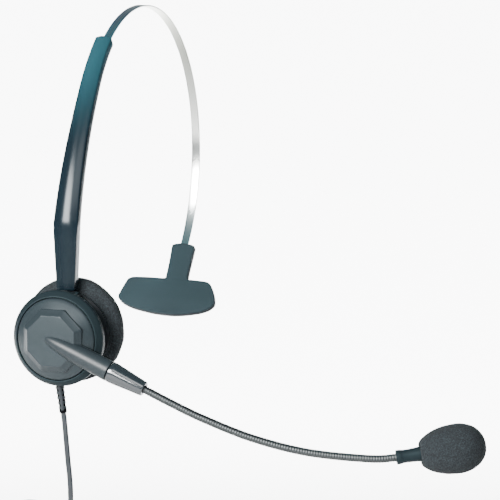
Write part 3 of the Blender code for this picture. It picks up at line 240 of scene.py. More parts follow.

# %% [markdown]
# ## Metals
# Polished spring steel shows its rolling lines along the strip and takes a faint heat tint near its
# ends. The angle round the band's circle picks the colour from a colour ramp, so it follows the strip:
# the ramp holds the heat tint and also painted reflections, brighter and darker stretches along the band.
# Fasteners are plain bright steel, and the gooseneck is a duller plated one.

# %% Band steel
BAND_CENTRE_Z = JOINTS["band_slide"]["pos_m"][2]
BAND_STEEL, sheet, feed = new_finish("band_steel", (0.7, 0.7, 0.68), 0.16, Metallic=1.0)
place = sheet.place()
across, along, height = sheet.axes(place)
angle = (height - BAND_CENTRE_Z).maths("ARCTAN2", across) / math.pi
# Ramp stops: heat tint towards the ends, and painted reflections as bright and dark stretches between.
stops = [
    (0.144, (0.5, 0.76, 0.77)),
    (0.19, (0.9, 0.92, 0.9)),
    (0.27, (0.88, 0.88, 0.84)),
    (0.36, (0.5, 0.51, 0.45)),
    (0.47, (0.58, 0.59, 0.53)),
    (0.51, (0.85, 0.85, 0.83)),
    (0.545, (0.42, 0.48, 0.56)),
    (0.6, (0.26, 0.68, 0.78)),
]
tint_and_painted_reflections = sheet.add("ShaderNodeValToRGB", {"stops": stops}, {"Fac": angle * 0.5 + 0.25})
lines = sheet.grain(place, 5200, 2, (0.02, 1, 0.02))
feed("Base Color", sheet.mix(lines * 0.25, tint_and_painted_reflections, (0.4, 0.42, 0.4)))
feed("Roughness", lines * 0.12 + 0.13)


# %% Other metals and the small finishes
def metal(name, colour, roughness, scale=1500):
    material, sheet, feed = new_finish(name, colour, roughness, Metallic=1.0)
    wear = sheet.grain(sheet.place(), scale, 3)
    feed("Base Color", sheet.mix(wear, tuple(c * 0.8 for c in colour), colour))
    feed("Roughness", wear * 0.2 + (roughness - 0.1))
    return material


FASTENER = metal("fastener_steel", (0.62, 0.63, 0.62), 0.28)
NECK_METAL = metal("neck_plating", (0.08, 0.087, 0.088), 0.4, 2200)
MAGNET = metal("magnet_plating", (0.4, 0.41, 0.43), 0.3)
BRASS = metal("contact_brass", (0.78, 0.58, 0.28), 0.25)
BOARD = moulded("board_mask", (0.02, 0.11, 0.05), 0.35)
FILM = moulded("diaphragm_film", (0.42, 0.42, 0.37), 0.4)

# %% [markdown]
# ## Soft finishes
# The T-bar's skin is a matte soft-touch rubber: rough, nearly without a highlight, and slightly uneven.
# Foam is the opposite of smooth. Its open cells are holes between pale struts, so a cell pattern drives a
# strong bump and darkens the middle of each cell, where the hole is: painted shade. A finer noise gives the
# pale speckle of the struts. The lead's jacket is a satin rubber.

# %% Rubber and foam
SKIN, sheet, feed = new_finish("soft_skin", (0.045, 0.078, 0.09), 0.78, Specular_IOR_Level=0.25)
place = sheet.place()
dust = sheet.grain(place, 1900, 4)
cloud = sheet.grain(place, 45, 2)
feed("Base Color", sheet.mix(cloud * 0.7 + dust * 0.3, (0.009, 0.018, 0.022), (0.014, 0.031, 0.037)))
feed("Roughness", dust * 0.15 + 0.7)
feed("Normal", sheet.bump(dust, 0.18, 0.00008))

FOAM, sheet, feed = new_finish("open_cell_foam", (0.02, 0.027, 0.032), 0.95)
place = sheet.place()
cells = sheet.add("ShaderNodeTexVoronoi", {"feature": "F1"}, {"Vector": place, "Scale": 1500.0})
struts = sheet.grain(place, 1900, 3)
open_cell = (1 - cells * 1.6).clamp(0, 1)
# Colour: pale speckle of the struts, and painted shade that darkens the middle of each cell.
speck_and_hole_shade = struts.step(0.42, 0.72) * 0.8 + cells.step(0.3, 0.8) * 0.2
feed("Base Color", sheet.mix(speck_and_hole_shade, (0.001, 0.0025, 0.004), (0.018, 0.027, 0.031)))
feed("Normal", sheet.bump(open_cell * 0.6 + struts, 0.75, 0.0003))

JACKET, sheet, feed = new_finish("cord_jacket", (0.07, 0.085, 0.095), 0.42)
place = sheet.place()
dust = sheet.grain(place, 1500, 3)
feed("Base Color", sheet.mix(dust, (0.006, 0.0085, 0.011), (0.013, 0.017, 0.022)))
feed("Roughness", dust * 0.2 + 0.32)
print(len(bpy.data.materials), "finishes")

# %% [markdown]
# ## Making a piece
# Most of the headset is turned or swept, so a few mesh makers are enough: one closes a skin over rings
# of points, one turns a profile, and one softens a profile's corners, because a real moulding has a
# small radius on each edge and that radius is what catches the light.


# %% Meshes from rings of points
def skin_over(name, rings, closed=False, caps=True):
    """Mesh over rings of equal length. Closed joins the last ring to the first."""
    points = [tuple(p) for ring in rings for p in ring]
    width = len(rings[0])
    faces = []
    for i in range(len(rings) if closed else len(rings) - 1):
        a, b = i * width, (i + 1) % len(rings) * width
        faces += [(a + k, a + (k + 1) % width, b + (k + 1) % width, b + k) for k in range(width)]
    if caps and not closed:
        faces += [tuple(range(width)), tuple((len(rings) - 1) * width + k for k in range(width))]
    mesh = bpy.data.meshes.new(name)
    mesh.from_pydata(points, [], faces)
    return tidy(mesh)


def tidy(mesh, sharp_deg=38, merge=0.0000005):
    """Doubles merged, faces outwards, smooth but for the edges that are sharp."""
    shape = bmesh.new()
    shape.from_mesh(mesh)
    bmesh.ops.remove_doubles(shape, verts=shape.verts, dist=merge)
    bmesh.ops.recalc_face_normals(shape, faces=shape.faces)
    shape.to_mesh(mesh)
    shape.free()
    mesh.shade_smooth()
    mesh.set_sharp_from_angle(angle=math.radians(sharp_deg))
    return mesh


# %% Profiles, corners and turning
def soften(points, amount, closed=True, steps=3):
    """The same outline with each corner rounded."""
    points = [Vector(p) for p in points]
    result = []
    for i, corner in enumerate(points):
        before, after = points[i - 1], points[(i + 1) % len(points)]
        if not closed and i in (0, len(points) - 1):
            result.append(corner)
            continue
        start = corner + (before - corner).normalized() * min(amount, (before - corner).length * 0.45)
        end = corner + (after - corner).normalized() * min(amount, (after - corner).length * 0.45)
        for t in np.linspace(0, 1, steps + 1):
            result.append(start * (1 - t) ** 2 + corner * 2 * t * (1 - t) + end * t**2)
    return result


def turned(name, profile, place, steps=128, soft=0.0, closed=True):
    """A profile of (radius, height) in millimetres, turned about the Z of a place."""
    profile = soften(profile, soft, closed) if soft else [Vector(p) for p in profile]
    rings = []
    for k in range(steps):
        c, s = math.cos(math.tau * k / steps), math.sin(math.tau * k / steps)
        rings.append([place @ (Vector((p.x * c, p.x * s, p.y)) * MM) for p in profile])
    columns = len(profile)
    points = [tuple(p) for ring in rings for p in ring]
    faces = []
    for k in range(steps):
        a, b = k * columns, (k + 1) % steps * columns
        for i in range(columns if closed else columns - 1):
            j = (i + 1) % columns
            faces.append((a + i, a + j, b + j, b + i))
    mesh = bpy.data.meshes.new(name)
    mesh.from_pydata(points, [], faces)
    return tidy(mesh)


# %% From a mesh to a piece of the headset
def piece(name, mesh, body, finish, slot, *nodes):
    """An object that rides on a body, if one is named, and stands for CAD nodes. The slot is not used."""
    obj = bpy.data.objects.new(name, mesh)
    bpy.context.scene.collection.objects.link(obj)
    mesh.materials.clear()
    mesh.materials.append(finish)
    if body:
        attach(obj, body)
    if nodes:
        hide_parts(*nodes)
    return obj


def dress(finish, *nodes):
    """A better finish on CAD nodes whose shape is right."""
    for name in nodes:
        materials = frame["nodes"][name].data.materials
        materials.clear()
        materials.append(finish)


def place_on(origin, along, side):
    """Matrix with Z along and X towards side, for an origin in millimetres."""
    z = Vector(along).normalized()
    x = Vector(side)
    x = (x - x.dot(z) * z).normalized()
    matrix = Matrix((x, z.cross(x), z)).transposed().to_4x4()
    matrix.translation = Vector(origin) * MM
    return matrix


CUP_Z = JOINTS["boom_rotate"]["pos_m"][2] / MM
CUP_PLACE = place_on((0, 0, CUP_Z), (-1, 0, 0), (0, 0, 1))
print("cup axis at", round(CUP_Z, 1), "mm; depths count outwards from the head's middle")

# %% [markdown]
# ## The lead
# The lead is flat and twin: two round wires side by side in one jacket, 2.6 mm across. It leaves the
# strain relief under the cup and hangs. What isn't seen is wound into a small tied coil, two turns wide
# and four deep, and its far end carries the plug. Every turn is drawn, because a cord has one length.

# %% Route of the lead, in millimetres
CORD_WIDTH = 2.6
RELIEF_LEAN = math.radians(7.6)
RELIEF_DOWN = Vector((0, -math.sin(RELIEF_LEAN), -math.cos(RELIEF_LEAN)))
RELIEF_PLACE = place_on((-95.2, 4.0, CUP_Z - 14.0), RELIEF_DOWN, (1, 0, 0))
RELIEF_LENGTH = 21.6
CORD_EXIT = RELIEF_PLACE.translation / MM + RELIEF_DOWN * (RELIEF_LENGTH + 0.3)
HANGING = [(-95.2, 0.2, -188.0), (-95.2, -0.9, -201.0), (-95.2, -2.1, -216.0), (-95.2, -2.4, -231.9)]
COIL_CENTRE = Vector((-95.2, 17.1, -242.5))
COIL_RADIUS = 15.6
TAIL = [(-95.2, 21.5, -265.2), (-95.2, 26.3, -267.8), (-95.2, 29.2, -272.2), (-95.2, 29.8, -277.0)]
LAYERS = (3.9, 1.3, -1.3, -3.9, -3.9, -1.3, 1.3, 3.9)
LANES = (-1.3, -1.3, -1.3, -1.3, 1.3, 1.3, 1.3, 1.3)


def coil_turns(steps=48):
    """Points round the coil. Each turn eases into the next one's place over its last eighth."""
    points = []
    total = len(LAYERS) * steps + round(steps * 0.2)
    for i in range(total + 1):
        turn, part = divmod(i / steps, 1)
        now = min(int(turn), len(LAYERS) - 1)
        after = min(now + 1, len(LAYERS) - 1)
        ease = max(0.0, (part - 0.875) / 0.125)
        ease = ease * ease * (3 - 2 * ease)
        radius = COIL_RADIUS + LAYERS[now] + (LAYERS[after] - LAYERS[now]) * ease
        lane = LANES[now] + (LANES[after] - LANES[now]) * ease
        angle = math.tau * i / steps
        points.append(COIL_CENTRE + Vector((lane, -radius * math.cos(angle), -radius * math.sin(angle))))
    return points


# %% One smooth centreline from exit to plug
def smooth_through(points, spacing):
    """Even points on a smooth curve through the given ones."""
    knots = [Vector(p) for p in points]
    knots = [2 * knots[0] - knots[1], *knots, 2 * knots[-1] - knots[-2]]
    fine = []
    for a, b, c, d in zip(knots, knots[1:], knots[2:], knots[3:]):
        for t in np.linspace(0, 1, 16, endpoint=False):
            fine.append(0.5 * (2 * b + (c - a) * t + (2 * a - 5 * b + 4 * c - d) * t**2
                               + (3 * b - a - 3 * c + d) * t**3))
    fine.append(knots[-2])
    lengths = np.cumsum([0] + [(q - p).length for p, q in zip(fine, fine[1:])])
    wanted = np.linspace(0, lengths[-1], max(2, round(lengths[-1] / spacing) + 1))
    axes = [np.interp(wanted, lengths, [p[k] for p in fine]) for k in range(3)]
    return [Vector(p) for p in zip(*axes)]


def length_of(points):
    return sum((q - p).length for p, q in zip(points, points[1:]))


turns = coil_turns()
lead = smooth_through([CORD_EXIT, CORD_EXIT + RELIEF_DOWN * 3, *HANGING[:-1], *turns, *TAIL], 1.1)


# %% [markdown]
# The jacket is swept along that line by hand, because the flat side must keep facing the same way in
# the coil. Each ring is a figure of eight whose long axis lies across the coil's plane or turns slowly.


# %% Sweep a twin section along the line
def swept(name, points, section, side, scale=None):
    """Mesh tube. Section is (across, up) in millimetres, and side is what across leans to."""
    rings = []
    up = None
    for i, point in enumerate(points):
        tangent = (points[min(i + 1, len(points) - 1)] - points[max(i - 1, 0)]).normalized()
        lean = Vector(side) if up is None else up.cross(tangent)
        across = (lean - lean.dot(tangent) * tangent).normalized()
        up = tangent.cross(across)
        size = scale[i] if scale else 1
        rings.append([(point + (across * a + up * b) * size) * MM for a, b in section])
    return skin_over(name, rings)


def twin_section(width, steps=9):
    """Two round wires side by side, joined at the waist."""
    radius = width * 0.275
    shift = width / 2 - radius
    turn = np.linspace(-math.radians(128), math.radians(128), steps)
    right = [(shift + radius * math.cos(t), radius * math.sin(t)) for t in turn]
    left = [(-a, -b) for a, b in right]
    return right + left


lead_mesh = swept("lead", lead, twin_section(CORD_WIDTH), (0, 1, 0))
lead_piece = piece("lead", lead_mesh, "ear_cup", JACKET, "cord_jacket", "cord", "cord_coil", "cord_tail")
dress(JACKET, "plug_boot")
dress(DARK_MATTE, "plug_shell", "cord_tie")
dress(BRASS, "plug_contacts")

# %% [markdown]
# ## The band
# A strip on a circle follows a rule, so a Geometry Nodes tree makes it: an arc is the path, a rounded
# rectangle is the section, and Curve to Mesh sweeps one along the other. Its sizes are named inputs, so
# the same tree would make a wider or a thicker strip.


# %% A helper for Geometry Nodes trees
class Recipe(Sheet):
    """A Geometry Nodes tree with named inputs, which is run once and leaves a plain mesh."""

    def __init__(self, name, **sizes):
        super().__init__(bpy.data.node_groups.new(name, "GeometryNodeTree"))
        face = self.tree.interface
        face.new_socket("Geometry", in_out="INPUT", socket_type="NodeSocketGeometry")
        face.new_socket("Geometry", in_out="OUTPUT", socket_type="NodeSocketGeometry")
        self.sizes = sizes
        for key, value in sizes.items():
            kind = "NodeSocketInt" if isinstance(value, int) else "NodeSocketFloat"
            face.new_socket(key, in_out="INPUT", socket_type=kind)
        self.start = self.tree.nodes.new("NodeGroupInput")

    def size(self, key):
        return Wire(self, self.start.outputs[key])

    def given(self):
        return Wire(self, self.start.outputs["Geometry"])

    def run(self, geometry, finish, source=None):
        """Plain mesh that the tree gives, in the finish."""
        whole = self.add("GeometryNodeRealizeInstances", None, [geometry])
        whole = self.add("GeometryNodeSetMaterial", None, {"Geometry": whole, "Material": finish})
        end = self.tree.nodes.new("NodeGroupOutput")
        self.tree.links.new(whole.socket, end.inputs["Geometry"])
        holder = bpy.data.objects.new(self.tree.name, source or bpy.data.meshes.new(self.tree.name))
        bpy.context.scene.collection.objects.link(holder)
        modifier = holder.modifiers.new(self.tree.name, "NODES")
        modifier.node_group = self.tree
        for item in self.tree.interface.items_tree:
            if item.in_out == "INPUT" and item.name in self.sizes:
                modifier[item.identifier] = self.sizes[item.name]
        graph = bpy.context.evaluated_depsgraph_get()
        mesh = bpy.data.meshes.new_from_object(holder.evaluated_get(graph))
        holder.modifiers.clear()
        bpy.data.objects.remove(holder)
        mesh.name = self.tree.name
        return mesh


# %% Sweep the band
BAND_FROM, BAND_TO = -44.3, 145.0
BAND_RADIUS = 75.35
recipe = Recipe(
    "band_strip", Radius=BAND_RADIUS * MM, Width=4.2 * MM, Thickness=0.7 * MM, Edge=0.22 * MM,
    Start=math.radians(BAND_FROM), Sweep=math.radians(BAND_TO - BAND_FROM), Steps=260,
)
arc = recipe.add(
    "GeometryNodeCurveArc", {"mode": "RADIUS"},
    {"Resolution": recipe.size("Steps"), "Radius": recipe.size("Radius"),
     "Start Angle": recipe.size("Start"), "Sweep Angle": recipe.size("Sweep")},
)
section = recipe.add(
    "GeometryNodeCurvePrimitiveQuadrilateral", None,
    {"Width": recipe.size("Thickness"), "Height": recipe.size("Width")},
)
section = recipe.add(
    "GeometryNodeFilletCurve", {"mode": "POLY"}, {"Curve": section, "Count": 4, "Radius": recipe.size("Edge")}
)
strip = recipe.add(
    "GeometryNodeCurveToMesh", None, {"Curve": arc, "Profile Curve": section, "Fill Caps": True}
)
strip = recipe.add(
    "GeometryNodeTransform", None,
    {"Geometry": strip, "Translation": (0, 0, BAND_CENTRE_Z), "Rotation": (math.radians(90), 0, 0)},
)
band = piece("band_strip", tidy(recipe.run(strip, BAND_STEEL)), "headband", BAND_STEEL, "band_steel", "band")
print("band:", len(band.data.polygons), "faces")

# %% [markdown]
# ## The T-bar
# The T-bar rests on the head above the other ear. Its skin is a flat moulding with rolled edges, so it
# is a filled 2-D curve with a bevel: the outline is drawn once, and the curve's bevel rolls its edge.
# A second, slightly smaller outline behind it makes the carrier that the skin is bonded to.

# %% Outline of the T, in millimetres down its own plane
T_ENTRY = math.radians(-38.5)
T_HEAD = Vector((-math.cos(T_ENTRY), 0, -math.sin(T_ENTRY)))
T_DROP = BAND_CENTRE_Z / MM + math.sin(T_ENTRY) * BAND_RADIUS
T_ORIGIN = Vector((math.cos(T_ENTRY) * BAND_RADIUS, 0, T_DROP))
T_PLACE = place_on(T_ORIGIN, T_HEAD, (0, 1, 0))
T_OUTLINE = [
    (0.0, 1.6), (2.8, 1.9), (4.5, 2.5), (5.1, 3.8), (4.5, 13.0), (4.3, 20.6), (5.2, 22.0),
    (13.0, 21.9), (20.4, 22.1), (22.6, 22.7), (24.2, 24.2), (26.4, 31.6), (26.6, 33.6), (25.6, 35.4),
    (22.0, 37.6), (15.7, 39.7), (5.2, 41.6), (-5.5, 42.0), (-15.6, 40.4), (-20.9, 38.5),
    (-23.6, 36.2), (-24.3, 33.8), (-23.2, 30.0), (-20.8, 25.2), (-18.9, 23.4), (-16.4, 22.7),
    (-9.2, 22.2), (-7.3, 21.4), (-6.9, 13.0), (-6.8, 4.0), (-6.1, 2.7), (-3.6, 1.9),
]


def smooth_outline(points, steps=6):
    """Closed smooth curve through the points."""
    result = []
    count = len(points)
    for i in range(count):
        a, b, c, d = (Vector(points[(i + k) % count]) for k in (-1, 0, 1, 2))
        for t in np.linspace(0, 1, steps, endpoint=False):
            bend = (c - a) * t + (2 * a - 5 * b + 4 * c - d) * t**2 + (3 * b - a - 3 * c + d) * t**3
            result.append(0.5 * (2 * b + bend))
    return result


def rolled_plate(name, outlines, thickness, place, roll):
    """Filled outlines with rolled edges, in millimetres, its thickness centred on the place."""
    curve = bpy.data.curves.new(name, "CURVE")
    curve.dimensions = "2D"
    curve.fill_mode = "BOTH"
    curve.bevel_depth = roll * MM
    curve.bevel_resolution = 4
    curve.offset = -roll * MM
    curve.extrude = (thickness / 2 - roll) * MM
    for outline in outlines:
        spline = curve.splines.new("POLY")
        spline.points.add(len(outline) - 1)
        for point, (x, y) in zip(spline.points, outline):
            point.co = (x * MM, y * MM, 0, 1)
        spline.use_cyclic_u = True
    holder = bpy.data.objects.new(name, curve)
    bpy.context.scene.collection.objects.link(holder)
    graph = bpy.context.evaluated_depsgraph_get()
    mesh = bpy.data.meshes.new_from_object(holder.evaluated_get(graph))
    bpy.data.objects.remove(holder)
    mesh.transform(place)
    return tidy(mesh, 50)


# %% Skin and carrier of the T-bar
outline = smooth_outline(T_OUTLINE)
centre = Vector((0.3, 27.0))
inner_outline = [p + (centre - p).normalized() * 0.05 for p in outline]
skin_place = T_PLACE @ Matrix.Translation((0, 0, 2.7 * MM))
carrier_place = T_PLACE @ Matrix.Translation((0, 0, 0.95 * MM))
neck_place = T_PLACE @ Matrix.Translation((-0.9 * MM, 12.6 * MM, -0.6 * MM))
piece("t_bar_skin_fine", rolled_plate("t_skin", [outline], 1.5, skin_place, 0.5), "headband", SKIN,
      "soft_skin", "t_bar_skin")
piece("t_bar_carrier", rolled_plate("t_carrier", [inner_outline], 1.6, carrier_place, 0.3), "headband",
      BOOM_SATIN, "dark_plastic", "t_bar")
neck_outline = [(-4.9, -9.0), (-3.4, -10.6), (3.4, -10.6), (4.9, -9.0), (4.4, 11.0), (-4.4, 11.0)]
neck_outline = soften(neck_outline, 1.5)
piece("t_bar_neck", rolled_plate("t_neck", [neck_outline], 3.2, neck_place, 0.6), "headband", DARK_MATTE,
      "dark_plastic")
dress(FASTENER, "t_bar_rivet")
dress(DARK_MATTE, "band_slider")
print("T-bar outline has", len(outline), "points")

# %% [markdown]
# ## The arm
# The arm is a crowned sleeve that bends with the band, runs down to a knee and ends over the cup. It is
# a loft: one rounded section, drawn again at each station of the path with its own width and crown. The
# shell and its cover meet along a fine seam, which is drawn into the section as a notch.

# %% Path and section of the arm, in millimetres
ARM_MID = 76.75
KNEE = Vector((-92.4, 0, -92.7))
FOOT_Z = -123.3
HALF_THICK = 2.9


def arm_path():
    """(point, outward normal) pairs from the mouth to the foot, and the index of the knee."""
    centre = Vector((0, 0, BAND_CENTRE_Z / MM))
    stations = []
    for degrees in np.linspace(125.5, 146.0, 20):
        out = Vector((math.cos(math.radians(degrees)), 0, math.sin(math.radians(degrees))))
        stations.append((centre + out * ARM_MID, out))
    start, out = stations[-1]
    heading = Vector((-out.z, 0, out.x))
    lean = math.radians(14)
    arrive = Vector((-math.sin(lean), 0, -math.cos(lean)))
    reach = (KNEE - start).length / 3
    first, second = start + heading * reach, KNEE - arrive * reach
    for t in np.linspace(0, 1, 44)[1:]:
        s = 1 - t
        point = start * s**3 + first * 3 * s * s * t + second * 3 * s * t * t + KNEE * t**3
        slope = (first - start) * s * s + (second - first) * 2 * s * t + (KNEE - second) * t * t
        stations.append((point, Vector((slope.z, 0, -slope.x)).normalized()))
    knee = len(stations) - 1
    stations[knee] = (KNEE, Vector((-math.cos(lean / 2), 0, math.sin(lean / 2))))
    for z in np.linspace(KNEE.z, FOOT_Z, 18)[1:]:
        stations.append((Vector((KNEE.x, 0, z)), Vector((-1, 0, 0))))
    return stations, knee


arm_stations, knee_index = arm_path()
arm_lengths = np.cumsum([0] + [(b[0] - a[0]).length for a, b in zip(arm_stations, arm_stations[1:])])
KNEE_AT, ARM_LENGTH = arm_lengths[knee_index], arm_lengths[-1]


def foot_lip(length):
    """How far the section draws in: a fine groove round the foot."""
    return 0.22 if 1.3 < ARM_LENGTH - length < 1.75 else 0.0


def arm_width(length):
    return float(np.interp(length, (0, KNEE_AT * 0.5, KNEE_AT, ARM_LENGTH), (7.8, 9.3, 12.0, 8.8)))


def arm_section(length, steps=22):
    """Crowned face, rounded shoulders and a seam notch, as (across, outward)."""
    half = arm_width(length) / 2
    crown = float(np.interp(length, (0, 16, KNEE_AT - 1, KNEE_AT + 5), (0.9, 1.5, 1.8, 1.0)))
    shoulder = 0.3
    face = []
    for u in np.linspace(1, -1, steps):
        rise = crown * (1 - u * u)
        face.append(Vector((u * (half - shoulder * 0.4), HALF_THICK - crown + rise)))
    side = [Vector((half, HALF_THICK - crown - shoulder)), Vector((half, -0.85)), Vector((half - 0.3, -1.0)),
            Vector((half - 0.3, -1.2)), Vector((half - 0.05, -1.35)), Vector((half - 0.05, -2.5)),
            Vector((half - 0.45, -HALF_THICK))]
    other = [Vector((-p.x, p.y)) for p in side]
    return face + other + side[::-1]


# %% Loft the arm, with rounded ends
def arm_loft(name, section, start, end, round_ends=0.0):
    rings = []
    marks = [x for x in arm_lengths if start + 0.6 < x < end - 0.6]
    ends = (0.0, 0.06, 0.2, 0.5) if round_ends else (0.0,)
    if round_ends:
        marks = sorted(marks + [end - x for x in (1.28, 1.32, 1.72, 1.78)])
    first = [start + e * 2 * round_ends for e in ends]
    last = [end - e * 2 * round_ends for e in reversed(ends)]
    stops = first + marks + last
    for length in stops:
        found = np.interp(length, arm_lengths, range(len(arm_stations)))
        low = min(int(found), len(arm_stations) - 2)
        part = found - low
        point = arm_stations[low][0].lerp(arm_stations[low + 1][0], part)
        out = arm_stations[low][1].lerp(arm_stations[low + 1][1], part).normalized()
        near = min(length - start, end - length)
        inset = foot_lip(length) if round_ends else 0.0
        if round_ends and near < round_ends:
            inset = round_ends - math.sqrt(round_ends**2 - (round_ends - near) ** 2)
        ring = section(length)
        middle = Vector((0, 0))
        shrunk = [p + (middle - p).normalized() * inset for p in ring]
        rings.append([(point + Vector((0, p.x, 0)) + out * p.y) * MM for p in shrunk])
    return skin_over(name, rings)


def channel(length):
    half = arm_width(length) / 2 - 1.2
    return [Vector(p) for p in ((half, -5), (half, 1.5), (-half, 1.5), (-half, -5))]


def cover(length):
    half = arm_width(length) / 2 - 1.5
    corners = [(half, -2.85), (half, -2.3), (-half, -2.3), (-half, -2.85)]
    return soften(corners, 0.12, steps=2)


def carve(mesh, *tools):
    """The mesh with each tool's volume taken away."""
    holder = bpy.data.objects.new("carved", mesh)
    bpy.context.scene.collection.objects.link(holder)
    helpers = []
    for tool in tools:
        helper = bpy.data.objects.new("tool", tool)
        bpy.context.scene.collection.objects.link(helper)
        helpers.append(helper)
        boolean = holder.modifiers.new("carve", "BOOLEAN")
        boolean.operation = "DIFFERENCE"
        boolean.object = helper
    graph = bpy.context.evaluated_depsgraph_get()
    result = bpy.data.meshes.new_from_object(holder.evaluated_get(graph))
    for obj in (holder, *helpers):
        bpy.data.objects.remove(obj)
    result.materials.clear()
    return tidy(result)


# %% Carve the channel and the mouth
def arc_box(inner, outer, start, end, half_width):
    """Block between two radii round the band's centre."""
    rings = []
    for degrees in np.linspace(start, end, 12):
        c, s = math.cos(math.radians(degrees)), math.sin(math.radians(degrees))
        corners = [(inner, -half_width), (outer, -half_width), (outer, half_width), (inner, half_width)]
        rings.append([Vector((r * c * MM, w * MM, BAND_CENTRE_Z + r * s * MM)) for r, w in corners])
    return skin_over("arc_box", rings)


def clip_pocket():
    """Room in the foot for the swivel clip's corners as the yoke turns."""
    corners = [(-94.25, -3.45), (-90.0, -3.45), (-90.0, 3.45), (-94.25, 3.45)]
    return skin_over("clip_pocket", [[Vector((x, y, z)) * MM for x, y in corners] for z in (-119.6, -117.9)])


arm_mesh = carve(
    arm_loft("arm_shell", arm_section, 0.7, ARM_LENGTH, 0.6),
    arm_loft("arm_channel", channel, 2.0, ARM_LENGTH - 3.6),
    arc_box(74.6, 76.1, 122.0, 128.6, 2.5),
    clip_pocket(),
)
piece("arm_shell", arm_mesh, "arm", ARM_GLOSS, "arm_plastic", "arm_outer")
piece("arm_back_cover", arm_loft("arm_back_cover", cover, 2.3, ARM_LENGTH - 3.9), "arm", DARK_MATTE,
      "dark_plastic", "arm_cover")
dress(FASTENER, "friction_spring", "swivel_clip")
dress(DARK_MATTE, "yoke", "tilt_pin")
print("arm:", round(ARM_LENGTH, 1), "mm long, knee at", round(KNEE_AT, 1))

# %% [markdown]
# ## The ear cup
# The cup is turned work: a rear shell for the speaker, a flared rim, and the front plate that turns
# with the boom. Each is a profile of radius and depth. The edges are softened, and a shadow gap is left
# between the plate and the rim, which is what draws the dark ring on the real cup.

# %% Shell and rim
RIM_PROFILE = [
    (18.95, 105.8), (19.5, 106.0), (21.9, 103.4), (21.9, 100.8), (20.5, 99.4), (16.0, 98.2),
    (16.0, 90.2), (14.5, 90.2), (14.5, 100.0), (4.1, 100.0), (4.1, 101.5), (18.95, 101.5),
]
piece("cup_shell", turned("cup_shell", RIM_PROFILE, CUP_PLACE, 160, 0.35), "ear_cup", RIM_SATIN,
      "cup_plastic", "cup_housing")
TILT = Vector(JOINTS["cup_tilt"]["pos_m"]) / MM


def lug(side):
    place = place_on((TILT.x, side * 5.75, TILT.z), (0, 1, 0), (1, 0, 0))
    arch = [(1.8 * math.cos(t), -1.8 * math.sin(t)) for t in np.linspace(0, math.pi, 16)]
    return rolled_plate("lug", [[*arch, (-1.8, 5.0), (1.8, 5.0)]], 1.7, place, 0.25)


piece("lug_front", lug(-1), "ear_cup", RIM_SATIN, "cup_plastic")
piece("lug_rear", lug(1), "ear_cup", RIM_SATIN, "cup_plastic")

# %% [markdown]
# The baffle behind the cushion is a perforated disc. A Geometry Nodes tree drills it: rings of points
# carry one small cylinder each, and Mesh Boolean takes them out of the disc.

# %% Drill the baffle
recipe = Recipe("baffle_disc", Radius=19.0 * MM, Thickness=1.6 * MM, Hole=0.62 * MM, Pitch=2.0 * MM)
disc = recipe.add(
    "GeometryNodeMeshCylinder", None,
    {"Vertices": 96, "Radius": recipe.size("Radius"), "Depth": recipe.size("Thickness")}, "Mesh",
)
drill = recipe.add(
    "GeometryNodeMeshCylinder", None,
    {"Vertices": 14, "Radius": recipe.size("Hole"), "Depth": recipe.size("Thickness") * 3}, "Mesh",
)
rings = []
for number in range(1, 4):
    spots = recipe.add(
        "GeometryNodeMeshCircle", None,
        {"Vertices": 6 * number, "Radius": recipe.size("Pitch") * (number + 0.03 * number)},
    )
    rings.append(recipe.add("GeometryNodeInstanceOnPoints", None, {"Points": spots, "Instance": drill}))
joined = recipe.tree.nodes.new("GeometryNodeJoinGeometry")
for ring in [drill, *rings]:
    recipe.tree.links.new(ring.socket, joined.inputs[0])
drills = recipe.add("GeometryNodeRealizeInstances", None, [Wire(recipe, joined.outputs[0])])
boolean = recipe.tree.nodes.new("GeometryNodeMeshBoolean")
boolean.operation = "DIFFERENCE"
recipe.tree.links.new(disc.socket, boolean.inputs[0])
recipe.tree.links.new(drills.socket, boolean.inputs[1])
baffle_mesh = recipe.run(Wire(recipe, boolean.outputs[0]), DARK_MATTE)
baffle_mesh.transform(CUP_PLACE @ Matrix.Translation((0, 0, 89.1 * MM)))
piece("baffle_disc", tidy(baffle_mesh), "ear_cup", DARK_MATTE, "dark_plastic", "speaker_baffle")
dress(FASTENER, "speaker_frame", "wave_washer", "hub_retainer", "baffle_screw_1", "baffle_screw_2",
      "baffle_screw_3")
dress(MAGNET, "speaker_magnet")
dress(FILM, "speaker_diaphragm")
dress(BOARD, "terminal_board")
print("baffle:", len(baffle_mesh.polygons), "faces")

# %% [markdown]
# ## Foam
# Foam is cut, not moulded, so its skin is a field of broken cells and its outline is never quite even.
# The ring and the windscreen start as turned shapes with many faces, and a seeded noise then moves each
# point a little along its normal: broad lumps first, then single cells.


# %% Roughen a foam piece
def roughen(mesh, lumps, cells):
    """Moves each point along its normal by noise of two sizes, in millimetres."""
    moves = []
    for vertex in mesh.vertices:
        spot = vertex.co / MM
        broad = noise.noise(spot * 0.18)
        fine = noise.noise(spot * 1.9) + 0.6 * noise.noise(spot * 3.7)
        moves.append(vertex.co + vertex.normal * (broad * lumps + fine * cells) * MM)
    mesh.vertices.foreach_set("co", [x for move in moves for x in move])
    mesh.update()
    return mesh


def foam_ring():
    """Section of the ear cushion as (radius, depth): flat on its back, full on the ear's side."""
    turn = np.linspace(0, math.tau, 97)[:-1]
    profile = []
    for t in turn:
        c, s = math.cos(t), math.sin(t)
        radius = 16.2 + 7.7 * math.copysign(abs(c) ** 0.62, c)
        depth = 83.9 + 4.05 * math.copysign(abs(s) ** 0.55, s)
        profile.append((radius, depth))
    return profile


FOAM_LIFT = 1.4
foam_place = CUP_PLACE @ Matrix.Translation((FOAM_LIFT * MM, 0, 0))
cushion_mesh = roughen(turned("ear_foam", foam_ring(), foam_place, 340), 0.25, 0.09)
cushion = piece("ear_foam", cushion_mesh, "ear_cup", FOAM, "foam", "ear_cushion")
print("ear foam:", len(cushion_mesh.polygons), "faces")
